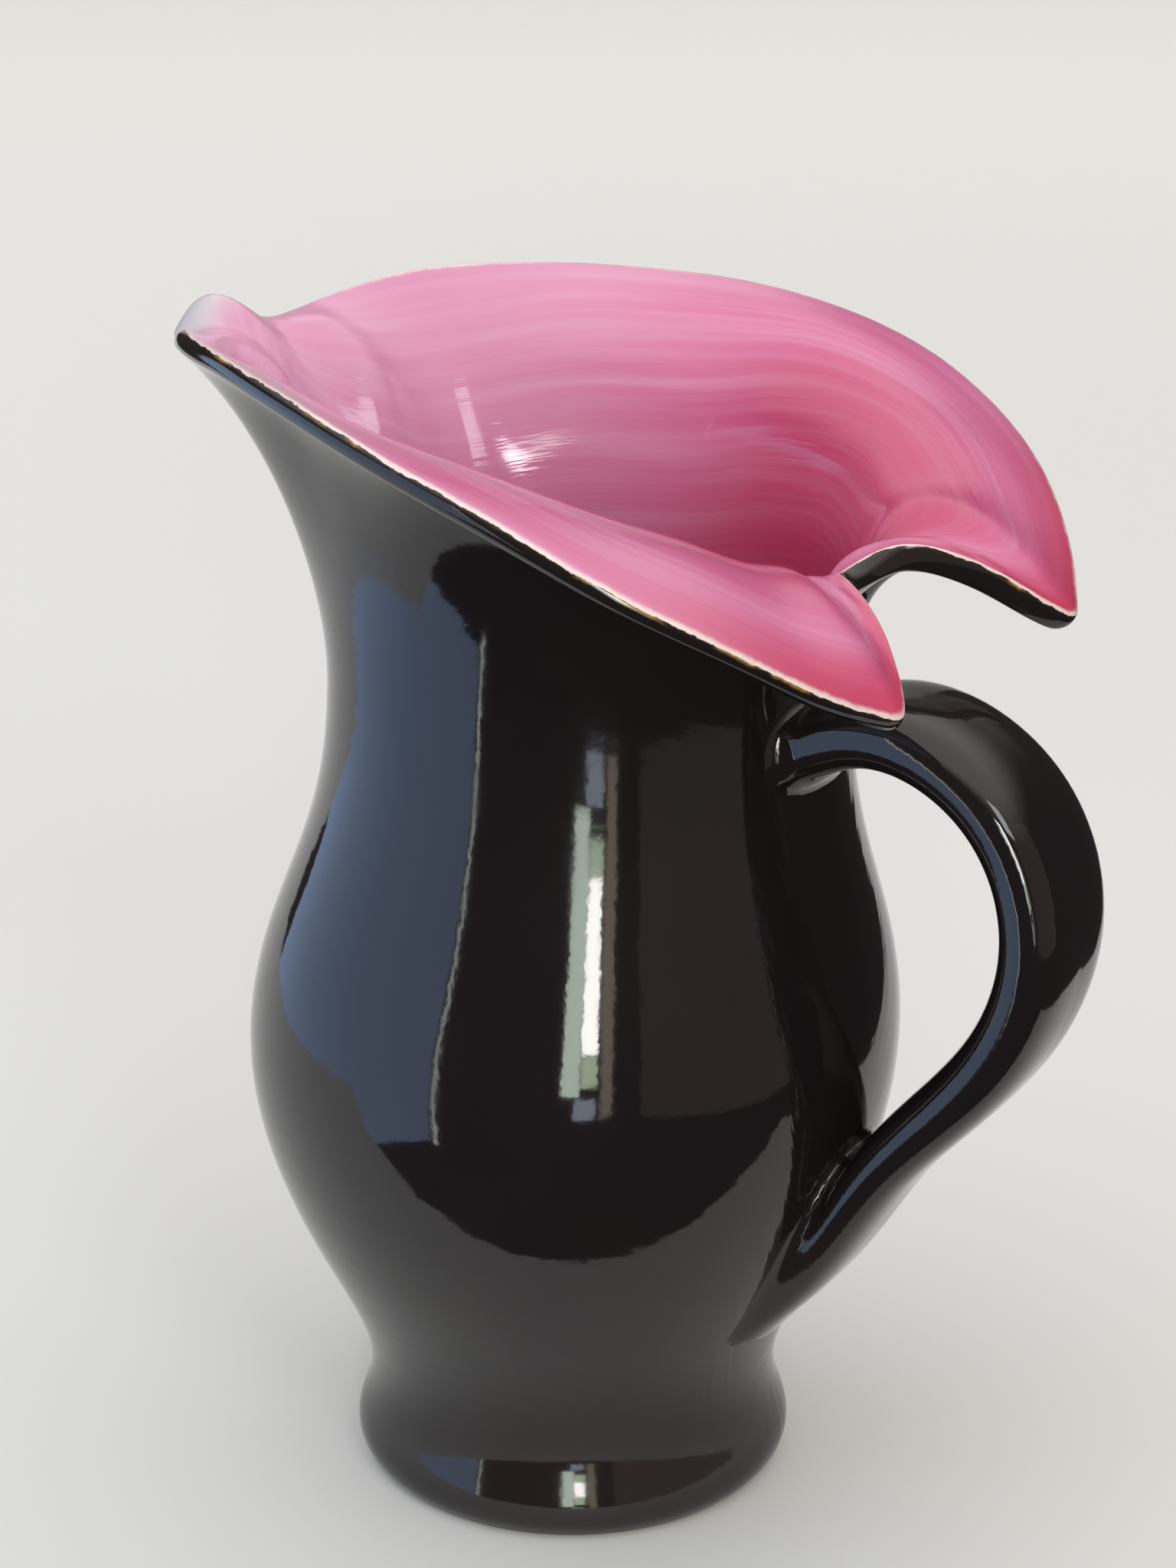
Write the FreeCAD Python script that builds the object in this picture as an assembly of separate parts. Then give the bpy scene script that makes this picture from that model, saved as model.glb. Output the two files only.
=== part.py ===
"""Glazed earthenware pitcher with a split, petal-like mouth and a strap handle.

All sizes are in millimetres. The jug stands on z = 0 with its foot centred on the
origin. The handle points along +X, the spout along -X, and the XZ plane is the
jug's plane of symmetry.

The wall is one thrown skin: a table of rings runs up the outside from the foot,
over the rim edge and down the inside to the floor. The same rings, moved out by
the thickness of the glaze, give the black outer coat and the pink inner coat.
"""
import FreeCAD
import Part
import math
import os

from FreeCAD import Vector

# Foot and body, measured on the glazed outside
stand_radius = 44.2
bulge_radius = 47.6
bulge_height = 6.0
waist_radius = 43.9
waist_height = 21.0
belly_radius = 69.0
belly_height = 97.0
neck_radius = 53.5
neck_height = 177.0
body_lean = 4.4
lean_start_height = 75.0

# Clay and glaze thicknesses
wall = 4.5
rim_wall = 4.0
lobe_rim_wall = 5.5
rim_crown = 0.9
rim_roll = 1.1
floor_thickness = 9.0
floor_corner = 13.0
foot_recess_radius = 35.0
foot_recess_depth = 2.5
glaze = 0.4
bare_foot_height = 2.0

# Mouth, on the inner edge: flare beyond the neck radius and rise above the neck ring
notch_flare = 6.8
notch_rise = 28.3
lobe_flare = 48.5
lobe_tip_rise = 15.2
side_flare = 19.3
side_rise = 70.5
spout_flare = 45.1
spout_tip_rise = 59.7

# Handle: a strap of rounded section, along a path in the XZ plane
handle_width = 31.0
handle_thickness = 13.0
handle_tail_thickness = 10.0
handle_root_drop = 6.5
handle_crest_rise = 6.1
handle_crest_run = 16.3
handle_widest_drop = 34.6
handle_stand_out = 39.0
handle_elbow_drop = 10.0
handle_elbow_gap = 9.2
handle_landing_drop = 42.0
handle_landing_sink = 0.5
handle_tail_drop = 60.0
handle_tail_sink = 3.5
root_embed = 2.2
luting_spread = 4.0
luting_length = 9.0
luting_start_depth = 0.8
tail_luting_length = 27.0
tail_luting_spread = 3.0
tail_luting_inset = 2.0

# Shape shares, chosen by eye from the silhouette
belly_rise_shares = ((0.20, 0.17), (0.43, 0.52), (0.70, 0.845))
shoulder_fall_shares = ((0.29, 0.20), (0.60, 0.745), (0.85, 0.975))
foot_turn_shares = ((0.35, 0.62),)

# Mouth stations, each (azimuth from the handle, reach share, height share, end slope,
# rise share, flare share, rim thickness share), from each named place to the next
notch_to_lobe_shares = (
    (0.0, 0.0, 0.0, 57.0, 0.66, 0.54, 0.85),
    (6.0, 0.05, -0.125, 44.0, 0.67, 0.55, 0.90),
    (10.5, 0.18, -0.285, 17.0, 0.68, 0.56, 1.0),
    (13.5, 0.365, -0.21, -8.0, 0.70, 0.58, 1.0),
    (16.5, 0.61, 0.15, -31.0, 0.73, 0.60, 1.0),
    (19.5, 0.83, 0.655, -42.0, 0.76, 0.64, 0.95),
    (21.6, 0.955, 0.94, -48.0, 0.80, 0.68, 0.85),
)
lobe_to_side_shares = (
    (23.2, 0.0, 0.0, -52.0, 0.84, 0.72, 0.80),
    (26.0, 0.0, 0.026, -53.0, 0.87, 0.75, 0.75),
    (33.0, -0.01, 0.13, -43.0, 0.84, 0.70, 0.70),
    (43.0, 0.0, 0.317, -35.0, 0.79, 0.64, 0.65),
    (54.0, 0.047, 0.50, -24.0, 0.74, 0.57, 0.55),
    (66.0, 0.225, 0.70, -12.0, 0.67, 0.49, 0.45),
    (79.0, 0.46, 0.84, -4.0, 0.59, 0.42, 0.25),
    (93.0, 0.733, 0.934, 10.0, 0.53, 0.36, 0.10),
    (108.0, 0.933, 0.977, 13.0, 0.49, 0.35, 0.0),
)
side_to_spout_shares = (
    (124.0, 0.0, 0.0, 14.0, 0.39, 0.34, 0.0),
    (138.0, 0.055, 0.0, 30.0, 0.28, 0.35, 0.15),
    (150.0, 0.135, 0.095, 41.0, 0.20, 0.37, 0.30),
    (161.0, 0.26, 0.41, 17.0, 0.26, 0.38, 0.45),
    (168.5, 0.405, 0.755, -21.0, 0.31, 0.41, 0.55),
    (173.0, 0.617, 0.95, -30.0, 0.33, 0.39, 0.65),
    (176.5, 0.878, 1.04, -48.0, 0.34, 0.38, 0.75),
    (180.0, 1.0, 1.0, -72.0, 0.36, 0.45, 0.80),
)

# Handle swings and the bed of the tail, as shares
upper_swing_shares = (0.72, 0.70)
lower_swing_shares = (0.78, 0.54)
tail_bed_start_share = 0.08
tail_bed_end_share = 0.8
floor_turns = (25.0, 50.0, 75.0)

# Counts of rings and meridians
meridians_per_station = 2
body_rings = 22
foot_crowding = 1.6
mouth_rings = 11
inner_rings = 14
handle_stations = 26
handle_ring_points = 20
luting_rings = 8
strap_squareness = 3.0
cubic = 3
sew_tolerance = 0.001
search_steps = 40
luting_fade_power = 2


def smooth_step(value):
    """Return a soft 0 to 1 ramp."""
    held = min(max(value, 0.0), 1.0)
    return held * held * (3.0 - 2.0 * held)


def mix(start, end, share):
    """Return the value at a share of the way from start to end."""
    return start + (end - start) * share


def lean_at(height):
    """Return how far the thrown body has moved towards the handle at a height."""
    return body_lean * smooth_step((height - lean_start_height) / (neck_height - lean_start_height))


def body_profile():
    """Return the outer curve of the glazed body, radius in x and height in z."""
    points = [Vector(stand_radius, 0.0, 0.0)]
    for height_share, radius_share in foot_turn_shares:
        points.append(Vector(mix(stand_radius, bulge_radius, radius_share), 0.0, bulge_height * height_share))
    points.append(Vector(bulge_radius, 0.0, bulge_height))
    points.append(Vector(waist_radius, 0.0, waist_height))
    for height_share, radius_share in belly_rise_shares:
        points.append(Vector(mix(waist_radius, belly_radius, radius_share), 0.0,
                             mix(waist_height, belly_height, height_share)))
    points.append(Vector(belly_radius, 0.0, belly_height))
    for height_share, radius_share in shoulder_fall_shares:
        points.append(Vector(mix(belly_radius, neck_radius, radius_share), 0.0,
                             mix(belly_height, neck_height, height_share)))
    points.append(Vector(neck_radius, 0.0, neck_height))
    curve = Part.BSplineCurve()
    curve.interpolate(Points=points, FinalTangent=Vector(0.0, 0.0, neck_height - belly_height))
    return curve


def mouth_stations():
    """Return the rim stations round half the mouth, from notch to spout."""
    spans = (
        (notch_to_lobe_shares, notch_flare, lobe_flare, notch_rise, lobe_tip_rise),
        (lobe_to_side_shares, lobe_flare, side_flare, lobe_tip_rise, side_rise),
        (side_to_spout_shares, side_flare, spout_flare, side_rise, spout_tip_rise),
    )
    stations = []
    for shares, flare_from, flare_to, rise_from, rise_to in spans:
        for azimuth, reach_share, height_share, slope, rise_share, flare_share, rim_share in shares:
            stations.append((azimuth, neck_radius + mix(flare_from, flare_to, reach_share),
                             neck_height + mix(rise_from, rise_to, height_share), slope,
                             rise_share, flare_share, mix(rim_wall, lobe_rim_wall, rim_share)))
    return stations


def closed_values(column, sign):
    """Return one column of the stations for the whole turn, by a smooth closed curve."""
    half = [station[column] for station in mouth_stations()]
    mirrored = [sign * value for value in half[-2:0:-1]]
    whole = half + [value + (2 * half[-1] if sign < 0 else 0) for value in mirrored]
    count = len(whole)
    values = []
    for index in range(count * meridians_per_station):
        place = index / meridians_per_station
        base = int(place)
        part = place - base
        turn = 2 * half[-1] if sign < 0 else 0
        near = []
        for step in (-1, 0, 1, 2):
            lap, spot = divmod(base + step, count)
            near.append(whole[spot] + lap * turn)
        slope_in = (near[2] - near[0]) / 2
        slope_out = (near[3] - near[1]) / 2
        values.append(near[1] * (2 * part ** 3 - 3 * part ** 2 + 1)
                      + slope_in * (part ** 3 - 2 * part ** 2 + part)
                      + near[2] * (3 * part ** 2 - 2 * part ** 3)
                      + slope_out * (part ** 3 - part ** 2))
    return values


def bezier(points, share):
    """Return the point at a share along a four-point curve."""
    rest = 1.0 - share
    return (points[0] * rest ** 3 + points[1] * (3 * rest ** 2 * share)
            + points[2] * (3 * rest * share ** 2) + points[3] * share ** 3)


def mouth_curve(station, start_radius, inward):
    """Return the four points of one meridian from the neck ring to the rim edge."""
    azimuth, reach, height, slope, rise_share, flare_share, rim_thickness = station
    angle = math.radians(azimuth)
    tilt = math.radians(slope)
    start = Vector(lean_at(neck_height) + start_radius * math.cos(angle),
                   start_radius * math.sin(angle), neck_height)
    edge = Vector(reach * math.cos(angle), reach * math.sin(angle), height)
    out = Vector(edge.x - start.x, edge.y - start.y, 0.0)
    out.normalize()
    along = out * math.cos(tilt) + Vector(0.0, 0.0, math.sin(tilt))
    under = out * math.sin(tilt) - Vector(0.0, 0.0, math.cos(tilt))
    end = edge if inward else edge + under * rim_thickness
    chord = end.distanceToPoint(start)
    rise = start + Vector(0.0, 0.0, chord * rise_share)
    flare = end - along * (chord * flare_share)
    return [start, rise, flare, end], along


def glazed_meridian(station, profile):
    """Return one line of ring points over the glazed wall, and the index of its inner edge."""
    angle = math.radians(station[0])
    points = []
    first = profile.FirstParameter
    last = profile.LastParameter
    bare = profile_parameter(profile, bare_foot_height)
    for ring in range(body_rings):
        crowded = (max(ring - 1, 0) / (body_rings - 1)) ** foot_crowding
        place = profile.value(first if ring == 0 else mix(bare, last, crowded))
        points.append(Vector(lean_at(place.z) + place.x * math.cos(angle), place.x * math.sin(angle), place.z))
    outer, along = mouth_curve(station, neck_radius, False)
    for ring in range(mouth_rings):
        points.append(bezier(outer, ring / mouth_rings))
    inner, along = mouth_curve(station, neck_radius - wall, True)
    points.append(outer[3] - along * rim_roll)
    points.append(outer[3])
    for share in (1 / 3, 2 / 3):
        points.append(outer[3] + (inner[3] - outer[3]) * share + along * rim_crown)
    inner_edge = len(points)
    points.append(inner[3])
    points.append(inner[3] - along * rim_roll)
    for ring in range(mouth_rings - 1, 0, -1):
        points.append(bezier(inner, ring / mouth_rings))
    lowest = profile_parameter(profile, waist_height)
    for ring in range(inner_rings, -1, -1):
        spot = mix(lowest, last, ring / inner_rings)
        place = profile.value(spot)
        slope_here = profile.tangent(spot)[0]
        slope_here.normalize()
        radius = place.x - wall * slope_here.z
        rise = place.z + wall * slope_here.x
        points.append(Vector(lean_at(place.z) + radius * math.cos(angle), radius * math.sin(angle), rise))
    return points, inner_edge


def profile_parameter(profile, height):
    """Return the profile's parameter at a height."""
    low = profile.FirstParameter
    high = profile.LastParameter
    for turn in range(search_steps):
        middle = (low + high) / 2
        if profile.value(middle).z < height:
            low = middle
        else:
            high = middle
    return low


def body_radius(profile, height):
    """Return the radius of the glazed body at a height."""
    return profile.value(profile_parameter(profile, height)).x


def floor_points(lowest, level):
    """Return the ring points that turn the inner wall into a level floor."""
    radius = math.hypot(lowest.x, lowest.y)
    unit = Vector(lowest.x / radius, lowest.y / radius, 0.0)
    points = []
    for turn in floor_turns:
        angle = math.radians(turn)
        reach = radius - floor_corner * (1.0 - math.cos(angle))
        drop = mix(lowest.z, level, math.sin(angle))
        points.append(unit * reach + Vector(0.0, 0.0, drop))
    points.append(unit * (radius - floor_corner) + Vector(0.0, 0.0, level))
    points.append(unit * (radius - 2 * floor_corner) + Vector(0.0, 0.0, level))
    return points


def glazed_rings():
    """Return the whole net of the glazed surface and the index of the rim's inner edge."""
    profile = body_profile()
    azimuths = closed_values(0, -1)
    columns = [closed_values(column, 1) for column in range(1, len(mouth_stations()[0]))]
    net = []
    for station in zip(azimuths, *columns):
        points, inner_edge = glazed_meridian(station, profile)
        points += floor_points(points[-1], floor_thickness + glaze)
        net.append(points)
    return net, inner_edge


def clay_rings(net):
    """Return the net moved in by the glaze thickness, with its base and floor level."""
    meridians = len(net)
    clay = []
    for line_index, line in enumerate(net):
        before = net[line_index - 1]
        after = net[(line_index + 1) % meridians]
        moved = []
        for ring, point in enumerate(line):
            along = line[min(ring + 1, len(line) - 1)] - line[max(ring - 1, 0)]
            across = after[ring] - before[ring]
            normal = across.cross(along)
            normal.normalize()
            moved.append(point - normal * glaze)
        radius = math.hypot(line[0].x, line[0].y)
        moved[0] = line[0] * ((radius - glaze) / radius)
        for ring in (-1, -2):
            moved[ring] = line[ring] - Vector(0.0, 0.0, glaze)
        clay.append(moved)
    return clay


def uniform_knots(count):
    """Return knots and multiplicities of a clamped cubic with a number of poles."""
    spans = count - cubic
    knots = [index / spans for index in range(spans + 1)]
    mults = [cubic + 1] + [1] * (spans - 1) + [cubic + 1]
    return knots, mults


def tube_surface(net):
    """Return a smooth surface, closed round the meridians, over a net of points."""
    round_count = len(net)
    round_knots = [index / round_count for index in range(round_count + 1)]
    along_knots, along_mults = uniform_knots(len(net[0]))
    surface = Part.BSplineSurface()
    surface.buildFromPolesMultsKnots(net, [1] * (round_count + 1), along_mults, round_knots,
                                     along_knots, True, False, cubic, cubic)
    return surface


def ring_parameter(index, count):
    """Return the parameter that lies nearest a ring of poles."""
    knots, mults = uniform_knots(count)
    flat = []
    for knot, mult in zip(knots, mults):
        flat += [knot] * mult
    return sum(flat[index + 1:index + 1 + cubic]) / cubic


def band(surface, start, end):
    """Return the face of a tube surface between two of its ring parameters."""
    return surface.toShape(0.0, 1.0, start, end)


def ring_edge(surface, place):
    """Return the closed edge of a tube surface at a ring parameter."""
    return surface.vIso(place).toShape()


def disc(surface, place):
    """Return the level face inside a ring."""
    return Part.Face(Part.Wire([ring_edge(surface, place)]))


def solid_of(faces):
    """Return the solid that a closed set of faces holds."""
    shell = Part.makeShell(faces)
    shell.sewShape(sew_tolerance)
    solid = Part.makeSolid(Part.Shell(shell.Faces))
    if solid.Volume < 0:
        solid.reverse()
    return solid


def body_wall(clay):
    """Return the clay jug: foot, belly, neck and split mouth, with a recessed base."""
    solid = solid_of([band(clay, 0.0, 1.0), disc(clay, 0.0), disc(clay, 1.0)])
    recess = Part.makeCone(foot_recess_radius, foot_recess_radius - foot_recess_depth, foot_recess_depth)
    return largest(solid.cut(recess))


def coat(glazed, clay, start, end, floor):
    """Return the glaze between two ring parameters, closed by strips or by the floor."""
    faces = [band(glazed, start, end), band(clay, start, end)]
    faces.append(Part.makeRuledSurface(ring_edge(glazed, start), ring_edge(clay, start)))
    if floor:
        faces += [disc(glazed, end), disc(clay, end)]
    else:
        faces.append(Part.makeRuledSurface(ring_edge(glazed, end), ring_edge(clay, end)))
    return solid_of(faces)


def handle_path():
    """Return the strap's centre line, from the neck to the tail on the lower belly."""
    body = body_profile()
    root = Vector(lean_at(neck_height) + neck_radius - root_embed, 0.0, neck_height - handle_root_drop)
    crest = root + Vector(handle_crest_run, 0.0, handle_crest_rise)
    widest = Vector(belly_radius + handle_stand_out, 0.0, crest.z - handle_widest_drop)
    elbow_height = belly_height - handle_elbow_drop
    elbow = Vector(body_radius(body, elbow_height) + handle_elbow_gap, 0.0, elbow_height)
    upper_swing = Vector(mix(crest.x, widest.x, upper_swing_shares[0]), 0.0,
                         mix(widest.z, crest.z, upper_swing_shares[1]))
    lower_swing = Vector(mix(elbow.x, widest.x, lower_swing_shares[0]), 0.0,
                         mix(elbow.z, widest.z, lower_swing_shares[1]))
    landing_height = belly_height - handle_landing_drop
    landing = Vector(body_radius(body, landing_height) - handle_landing_sink, 0.0, landing_height)
    tail_height = belly_height - handle_tail_drop
    tail = Vector(body_radius(body, tail_height) - handle_tail_sink, 0.0, tail_height)
    curve = Part.BSplineCurve()
    curve.interpolate(Points=[root, crest, upper_swing, widest, lower_swing, elbow, landing, tail])
    return curve


def oval_ring(centre, tangent, half_width, half_thickness):
    """Return the points of one rounded strap section, square to the path."""
    side = Vector(0.0, 1.0, 0.0)
    normal = tangent.cross(side)
    normal.normalize()
    points = []
    for index in range(handle_ring_points):
        angle = 2 * math.pi * index / handle_ring_points
        across = math.copysign(abs(math.cos(angle)) ** (2 / strap_squareness), math.cos(angle))
        through = math.copysign(abs(math.sin(angle)) ** (2 / strap_squareness), math.sin(angle))
        points.append(centre + side * (half_width * across) + normal * (half_thickness * through))
    return points


def along_path(path, distance):
    """Return the centre and direction at a distance along the path."""
    place = path.parameterAtDistance(distance, path.FirstParameter)
    return path.value(place), path.tangent(place)[0]


def swept(rings):
    """Return the closed solid that runs through a row of strap sections."""
    turned = [[ring[index] for ring in rings] for index in range(handle_ring_points)]
    surface = tube_surface(turned)
    return solid_of([band(surface, 0.0, 1.0), disc(surface, 0.0), disc(surface, 1.0)])


def strap(extra):
    """Return the strap swept along its path, each half size grown by an extra."""
    path = handle_path()
    length = path.length()
    rings = []
    for station in range(handle_stations + 1):
        share = station / handle_stations
        centre, tangent = along_path(path, length * share)
        thickness = mix(handle_thickness, handle_tail_thickness, smooth_step(share * 2 - 1))
        rings.append(oval_ring(centre, tangent, handle_width / 2 + extra, thickness / 2 + extra))
    return swept(rings)


def neck_luting():
    """Return the clay fillet round the strap's upper root, flared towards the neck."""
    path = handle_path()
    rings = []
    for ring in range(luting_rings + 1):
        share = ring / luting_rings
        centre, tangent = along_path(path, share * (luting_length + root_embed))
        grow = luting_spread * (1.0 - share) ** luting_fade_power - luting_start_depth * share
        rings.append(oval_ring(centre, tangent, handle_width / 2 + grow, handle_thickness / 2 + grow))
    return swept(rings)


def tail_luting():
    """Return the low bed of clay that the strap's tail is pressed into."""
    path = handle_path()
    length = path.length()
    rings = []
    for ring in range(luting_rings + 1):
        share = ring / luting_rings
        centre, tangent = along_path(path, length - tail_luting_length * (1.0 - share))
        swell = math.sin(math.pi * mix(tail_bed_start_share, tail_bed_end_share, share))
        grow = tail_luting_spread * swell - luting_start_depth
        rings.append(oval_ring(centre, tangent, handle_width / 2 + grow,
                               handle_tail_thickness / 2 - tail_luting_inset))
    return swept(rings)


def largest(shape):
    """Return the largest solid of a shape."""
    return max(shape.Solids, key=lambda solid: solid.Volume)


def outside(shape):
    """Return the solids of a shape that lie on the jug's outside."""
    profile = body_profile()
    kept = []
    for solid in shape.Solids:
        middle = solid.CenterOfMass
        if math.hypot(middle.x, middle.y) > body_radius(profile, middle.z) - wall:
            kept.append(solid)
    return Part.makeCompound(kept)


def build():
    """Return every node of the jug by name."""
    net, inner_edge = glazed_rings()
    rings = len(net[0])
    glazed = tube_surface(net)
    clay = tube_surface(clay_rings(net))
    edge_place = ring_parameter(inner_edge, rings)
    foot_place = ring_parameter(1, rings)
    wall_solid = body_wall(clay)
    handle = largest(strap(0.0).cut(wall_solid))
    upper = largest(neck_luting().cut(wall_solid).cut(handle))
    lower = outside(tail_luting().cut(wall_solid).cut(handle))
    handle_coat = strap(glaze).cut(wall_solid).cut(handle).cut(upper).cut(lower)
    black = coat(glazed, clay, foot_place, edge_place, False)
    black = black.cut(handle).cut(upper).cut(lower)
    handle_coat = largest(handle_coat.cut(black))
    pink = coat(glazed, clay, edge_place, 1.0, True)
    return {
        "body_wall": wall_solid,
        "handle_strap": handle,
        "upper_luting": upper,
        "lower_luting": lower,
        "black_body_glaze": largest(black),
        "black_handle_glaze": handle_coat,
        "pink_inner_glaze": pink,
    }


def main():
    """Write one file for each node."""
    os.makedirs("parts", exist_ok=True)
    for name, shape in build().items():
        print(name, shape.ShapeType, "valid", shape.isValid(), "volume", round(shape.Volume), shape.BoundBox)
        shape.exportStep("parts/" + name + ".step")


main()
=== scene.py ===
"""Glazed jug with a split, petal-like mouth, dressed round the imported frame.

The frame is in metres. The jug stands on z = 0 with its foot centred on the origin, the
handle points along +X and the pouring lip along -X. Forms are worked out in millimetres,
as the source of the solids has them, and turned to metres when a mesh is made.
"""

import logging
from dataclasses import dataclass, field
from enum import Enum
from typing import Callable, Optional, Sequence

import bpy
import numpy as np
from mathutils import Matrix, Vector

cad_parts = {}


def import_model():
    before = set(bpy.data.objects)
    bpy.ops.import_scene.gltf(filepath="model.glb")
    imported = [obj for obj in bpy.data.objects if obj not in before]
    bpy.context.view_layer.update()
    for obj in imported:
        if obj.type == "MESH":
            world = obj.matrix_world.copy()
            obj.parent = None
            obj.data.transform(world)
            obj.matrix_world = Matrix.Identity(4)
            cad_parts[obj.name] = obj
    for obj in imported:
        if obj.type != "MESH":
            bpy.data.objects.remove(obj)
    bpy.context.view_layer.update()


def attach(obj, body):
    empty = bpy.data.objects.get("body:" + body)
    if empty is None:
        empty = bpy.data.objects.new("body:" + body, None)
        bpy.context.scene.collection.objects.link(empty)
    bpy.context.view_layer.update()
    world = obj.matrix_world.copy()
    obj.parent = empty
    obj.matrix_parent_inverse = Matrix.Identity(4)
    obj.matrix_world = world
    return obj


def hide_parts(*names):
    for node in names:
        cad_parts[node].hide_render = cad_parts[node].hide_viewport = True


LOG = logging.getLogger("jug")
METRES = 0.001
MILLIMETRES = 1000
WHEEL = "wheel_coord"
RIM = "rim_distance"
FLOAT, VECTOR = "NodeSocketFloat", "NodeSocketVector"
FULL_TURN = 360.0
TINY = 1e-6
AHEAD, SIDEWAYS, UP = np.eye(3)
LEVEL = AHEAD + SIDEWAYS

Number = np.ndarray | float
Pair = tuple[float, float]
Colour = tuple[float, float, float, float]
Faces = list[tuple[int, ...]]
Piece = bpy.types.Object
Socket = bpy.types.NodeSocket


class Slot(Enum):
    """Names of material slots, listed beside the body's pieces but not used to pick their finish.
    """

    BARE_CLAY = "bare_clay"
    BLACK_GLAZE = "black_glaze"
    PINK_GLAZE = "pink_glaze"


@dataclass(frozen=True)
class RimStation:
    """One place on the rim, half way round the mouth from the notch to the spout.

    The shares of reach and height run from the last named place of the rim to the next.
    """

    azimuth: float
    reach: float
    height: float
    slope: float
    rise: float
    flare: float
    edge: float


@dataclass(frozen=True)
class RimSpan:
    """A run of the rim between two named places."""

    reach: Pair
    height: Pair
    stations: tuple[RimStation, ...]


NOTCH_TO_LOBE = RimSpan((60.3, 102.0), (205.3, 192.2), (
    RimStation(0.0, 0.0, 0.0, 57.0, 0.66, 0.54, 0.85),
    RimStation(6.0, 0.05, -0.125, 44.0, 0.67, 0.55, 0.9),
    RimStation(10.5, 0.18, -0.285, 17.0, 0.68, 0.56, 1.0),
    RimStation(13.5, 0.365, -0.21, -8.0, 0.7, 0.58, 1.0),
    RimStation(16.5, 0.61, 0.15, -31.0, 0.73, 0.6, 1.0),
    RimStation(19.5, 0.83, 0.655, -42.0, 0.76, 0.64, 0.95),
    RimStation(21.6, 0.955, 0.94, -48.0, 0.8, 0.68, 0.85),
))
LOBE_TO_SIDE = RimSpan((102.0, 72.8), (192.2, 247.5), (
    RimStation(23.2, 0.0, 0.0, -52.0, 0.84, 0.72, 0.8),
    RimStation(26.0, 0.0, 0.026, -53.0, 0.87, 0.75, 0.75),
    RimStation(33.0, -0.01, 0.13, -43.0, 0.84, 0.7, 0.7),
    RimStation(43.0, 0.0, 0.317, -35.0, 0.79, 0.64, 0.65),
    RimStation(54.0, 0.047, 0.5, -24.0, 0.74, 0.57, 0.55),
    RimStation(66.0, 0.225, 0.7, -12.0, 0.67, 0.49, 0.45),
    RimStation(79.0, 0.46, 0.84, -4.0, 0.59, 0.42, 0.25),
    RimStation(93.0, 0.733, 0.934, 10.0, 0.53, 0.36, 0.1),
    RimStation(108.0, 0.933, 0.977, 13.0, 0.49, 0.35, 0.0),
))
SIDE_TO_SPOUT = RimSpan((72.8, 98.6), (247.5, 236.7), (
    RimStation(124.0, 0.0, 0.0, 14.0, 0.39, 0.34, 0.0),
    RimStation(138.0, 0.055, 0.0, 30.0, 0.28, 0.35, 0.15),
    RimStation(150.0, 0.135, 0.095, 41.0, 0.2, 0.37, 0.3),
    RimStation(161.0, 0.26, 0.41, 17.0, 0.26, 0.38, 0.45),
    RimStation(168.5, 0.405, 0.755, -21.0, 0.31, 0.41, 0.55),
    RimStation(173.0, 0.617, 0.95, -30.0, 0.33, 0.39, 0.65),
    RimStation(176.5, 0.878, 1.04, -48.0, 0.34, 0.38, 0.75),
    RimStation(180.0, 1.0, 1.0, -72.0, 0.36, 0.45, 0.8),
))


def smooth_step(value: Number) -> Number:
    """Return a soft 0 to 1 ramp."""
    held = np.clip(value, 0.0, 1.0)
    return held * held * (3.0 - 2.0 * held)


def mix(start: Number, end: Number, share: Number) -> Number:
    """Return the value at a share of the way from start to end."""
    return start + (end - start) * share


def level_ways(angle: Number) -> np.ndarray:
    """Return level unit vectors that point at some azimuths."""
    return np.stack([np.cos(angle), np.sin(angle), np.zeros_like(angle)], axis=-1)


def cubic_through(points: Sequence[Pair], count: int, level_end: bool = False) -> np.ndarray:
    """Return points along a smooth curve through a few places.

    Args:
        points: The places, one row each.
        count: How many points to return, evenly spread in the curve's parameter.
        level_end: Whether the curve ends straight along its last column.

    Returns:
        The points of the curve.
    """
    places = np.asarray(points, float)
    chords = np.diff(places, axis=0)
    gaps = np.linalg.norm(chords, axis=1)
    knots = np.concatenate([[0.0], np.cumsum(gaps)])
    total = len(places)
    matrix = np.zeros((total, total))
    wanted = np.zeros_like(places)
    for row in range(1, total - 1):
        before, after = gaps[row - 1], gaps[row]
        matrix[row, row - 1:row + 2] = (1 / before, 2 / before + 2 / after, 1 / after)
        wanted[row] = 3 * (chords[row - 1] / before ** 2 + chords[row] / after ** 2)
    matrix[0, :2] = (2.0, 1.0)
    wanted[0] = 3 * chords[0] / gaps[0]
    matrix[-1, -2:] = (0.0, 1.0) if level_end else (1.0, 2.0)
    wanted[-1] = np.eye(places.shape[1])[-1] if level_end else 3 * chords[-1] / gaps[-1]
    slopes = np.linalg.solve(matrix, wanted)
    at = np.linspace(0.0, knots[-1], count)
    cell = np.clip(np.searchsorted(knots, at, side="right") - 1, 0, total - 2)
    share = ((at - knots[cell]) / gaps[cell])[:, None]
    width = gaps[cell][:, None]
    return (places[cell] * (1 + 2 * share) * (1 - share) ** 2
            + slopes[cell] * width * share * (1 - share) ** 2
            + places[cell + 1] * share ** 2 * (3 - 2 * share)
            + slopes[cell + 1] * width * share ** 2 * (share - 1))


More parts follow.
